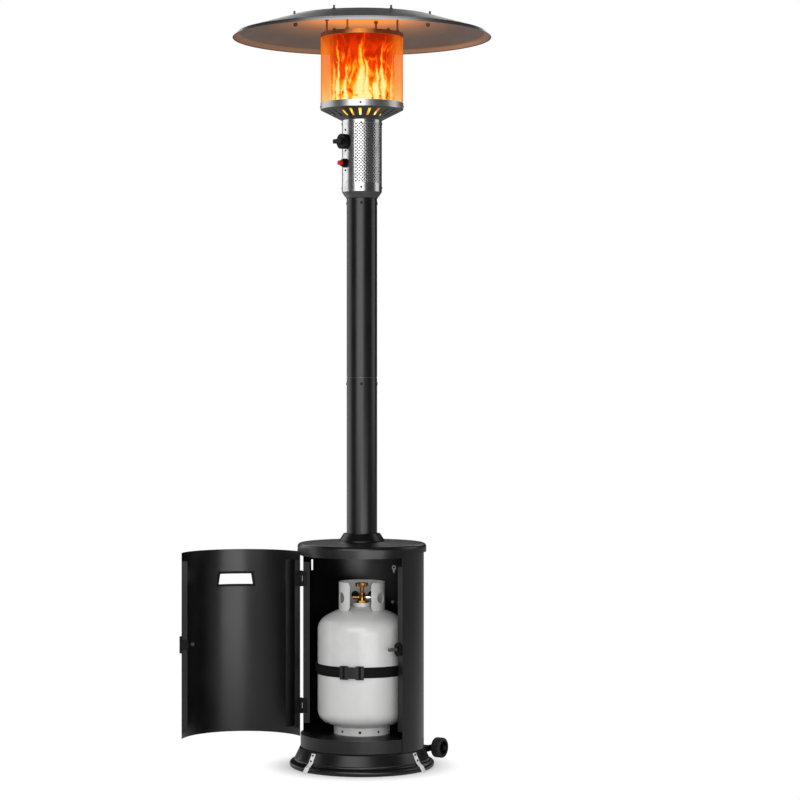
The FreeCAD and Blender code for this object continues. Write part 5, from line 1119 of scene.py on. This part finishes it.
@dataclass(frozen=True)
class Lamp:
    """A soft area lamp on the heater that the camera doesn't see.

    Its bearing counts from the camera's and its tip from facing straight down, in degrees.
    """

    name: str
    bearing: float
    distance: float
    height: float
    size: tuple[float, float]
    power: float
    tip: float = 90.0

    def build(self, camera_bearing: float) -> None:
        """Add the lamp.

        Args:
            camera_bearing: the camera's bearing, in radians.
        """
        data = bpy.data.lights.new(self.name, "AREA")
        data.shape = "RECTANGLE"
        data.size, data.size_y = self.size
        data.energy = self.power
        lamp = bpy.data.objects.new(self.name, data)
        bpy.context.scene.collection.objects.link(lamp)
        turn = camera_bearing + radians(self.bearing)
        lamp.visible_camera = False
        lamp.location = (self.distance * np.sin(turn), -self.distance * np.cos(turn), self.height)
        lamp.rotation_euler = (radians(self.tip), 0.0, turn)


LAMPS = (
    Lamp("front_softbox", -14.0, 3.0, 1.85, (2.9, 2.3), 65.0),
    Lamp("low_softbox", 16.0, 2.2, 0.34, (1.9, 0.6), 13.0),
    Lamp("left_softbox", -115.0, 3.0, 1.5, (3.2, 3.0), 36.0),
    Lamp("right_softbox", 98.0, 2.6, 2.0, (1.4, 2.3), 13.0),
    Lamp("rear_card", 180.0, 6.0, 3.75, (8.0, 1.2), 70.0),
    Lamp("top_card", 0.0, 0.0, 5.0, (2.4, 1.6), 10.0, 0.0),
)


@dataclass
class Studio:
    """Floor, soft lamps, white surroundings and the camera."""

    focal: float = 107.37
    distance: float = 7.015
    eye: float = 1.148
    azimuth: float = radians(33.5)
    shift: tuple[float, float] = (0.0476, -0.0313)
    sensor: float = 36.0
    half_floor: float = 30.0
    fill: float = 0.32
    reflected_fill: float = 0.03

    def build(self) -> None:
        """Build them all."""
        self.floor()
        self.surroundings()
        for lamp in LAMPS:
            lamp.build(self.azimuth)
        self.camera()
        bpy.context.scene.view_settings.view_transform = "Standard"

    def floor(self) -> None:
        """Lay a wide floor."""
        side = np.array([-self.half_floor, self.half_floor])
        grid = np.stack(np.meshgrid(side, side), axis=-1)
        points = np.concatenate([grid, np.zeros((2, 2, 1))], axis=-1)
        floor = skin("floor", points)
        floor.data.materials.append(PaleFloor().material())

    def surroundings(self) -> None:
        """Light softly from all sides, white where the camera looks past the heater."""
        world = bpy.data.worlds.new("studio")
        bpy.context.scene.world = world
        world.use_nodes = True
        tree = world.node_tree
        background = tree.nodes["Background"]
        background.inputs["Color"].default_value = (1.0, 1.0, 1.0, 1.0)
        rays = tree.nodes.new("ShaderNodeLightPath")
        camera = Wire(tree, rays.outputs["Is Camera Ray"])
        glossy = Wire(tree, rays.outputs["Is Glossy Ray"])
        through = Wire(tree, rays.outputs["Is Transmission Ray"])
        seen = camera.maths("MAXIMUM", camera, through)
        unseen = self.fill - glossy * (self.fill - self.reflected_fill)
        strength = seen + (1.0 - seen) * unseen
        tree.links.new(strength.socket, background.inputs["Strength"])

    def camera(self) -> None:
        """Stand the camera level at the photograph's bearing."""
        data = bpy.data.cameras.new("camera")
        data.lens = self.focal
        data.sensor_width = self.sensor
        data.shift_x, data.shift_y = self.shift
        camera = bpy.data.objects.new("camera", data)
        bpy.context.scene.collection.objects.link(camera)
        camera.location = (self.distance * np.sin(self.azimuth),
                           -self.distance * np.cos(self.azimuth), self.eye)
        camera.rotation_euler = (radians(90.0), 0.0, self.azimuth)
        bpy.context.scene.camera = camera


def main() -> None:
    """Dress the heater, set the studio and note the sizes."""
    logging.basicConfig(level=logging.INFO, format="%(message)s")
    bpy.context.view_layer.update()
    for part in (Metalwork(), Emitter(), TankStrap(), Studio()):
        part.build()
        log.info("%s done", type(part).__name__)


if __name__ == "__main__":
    main()
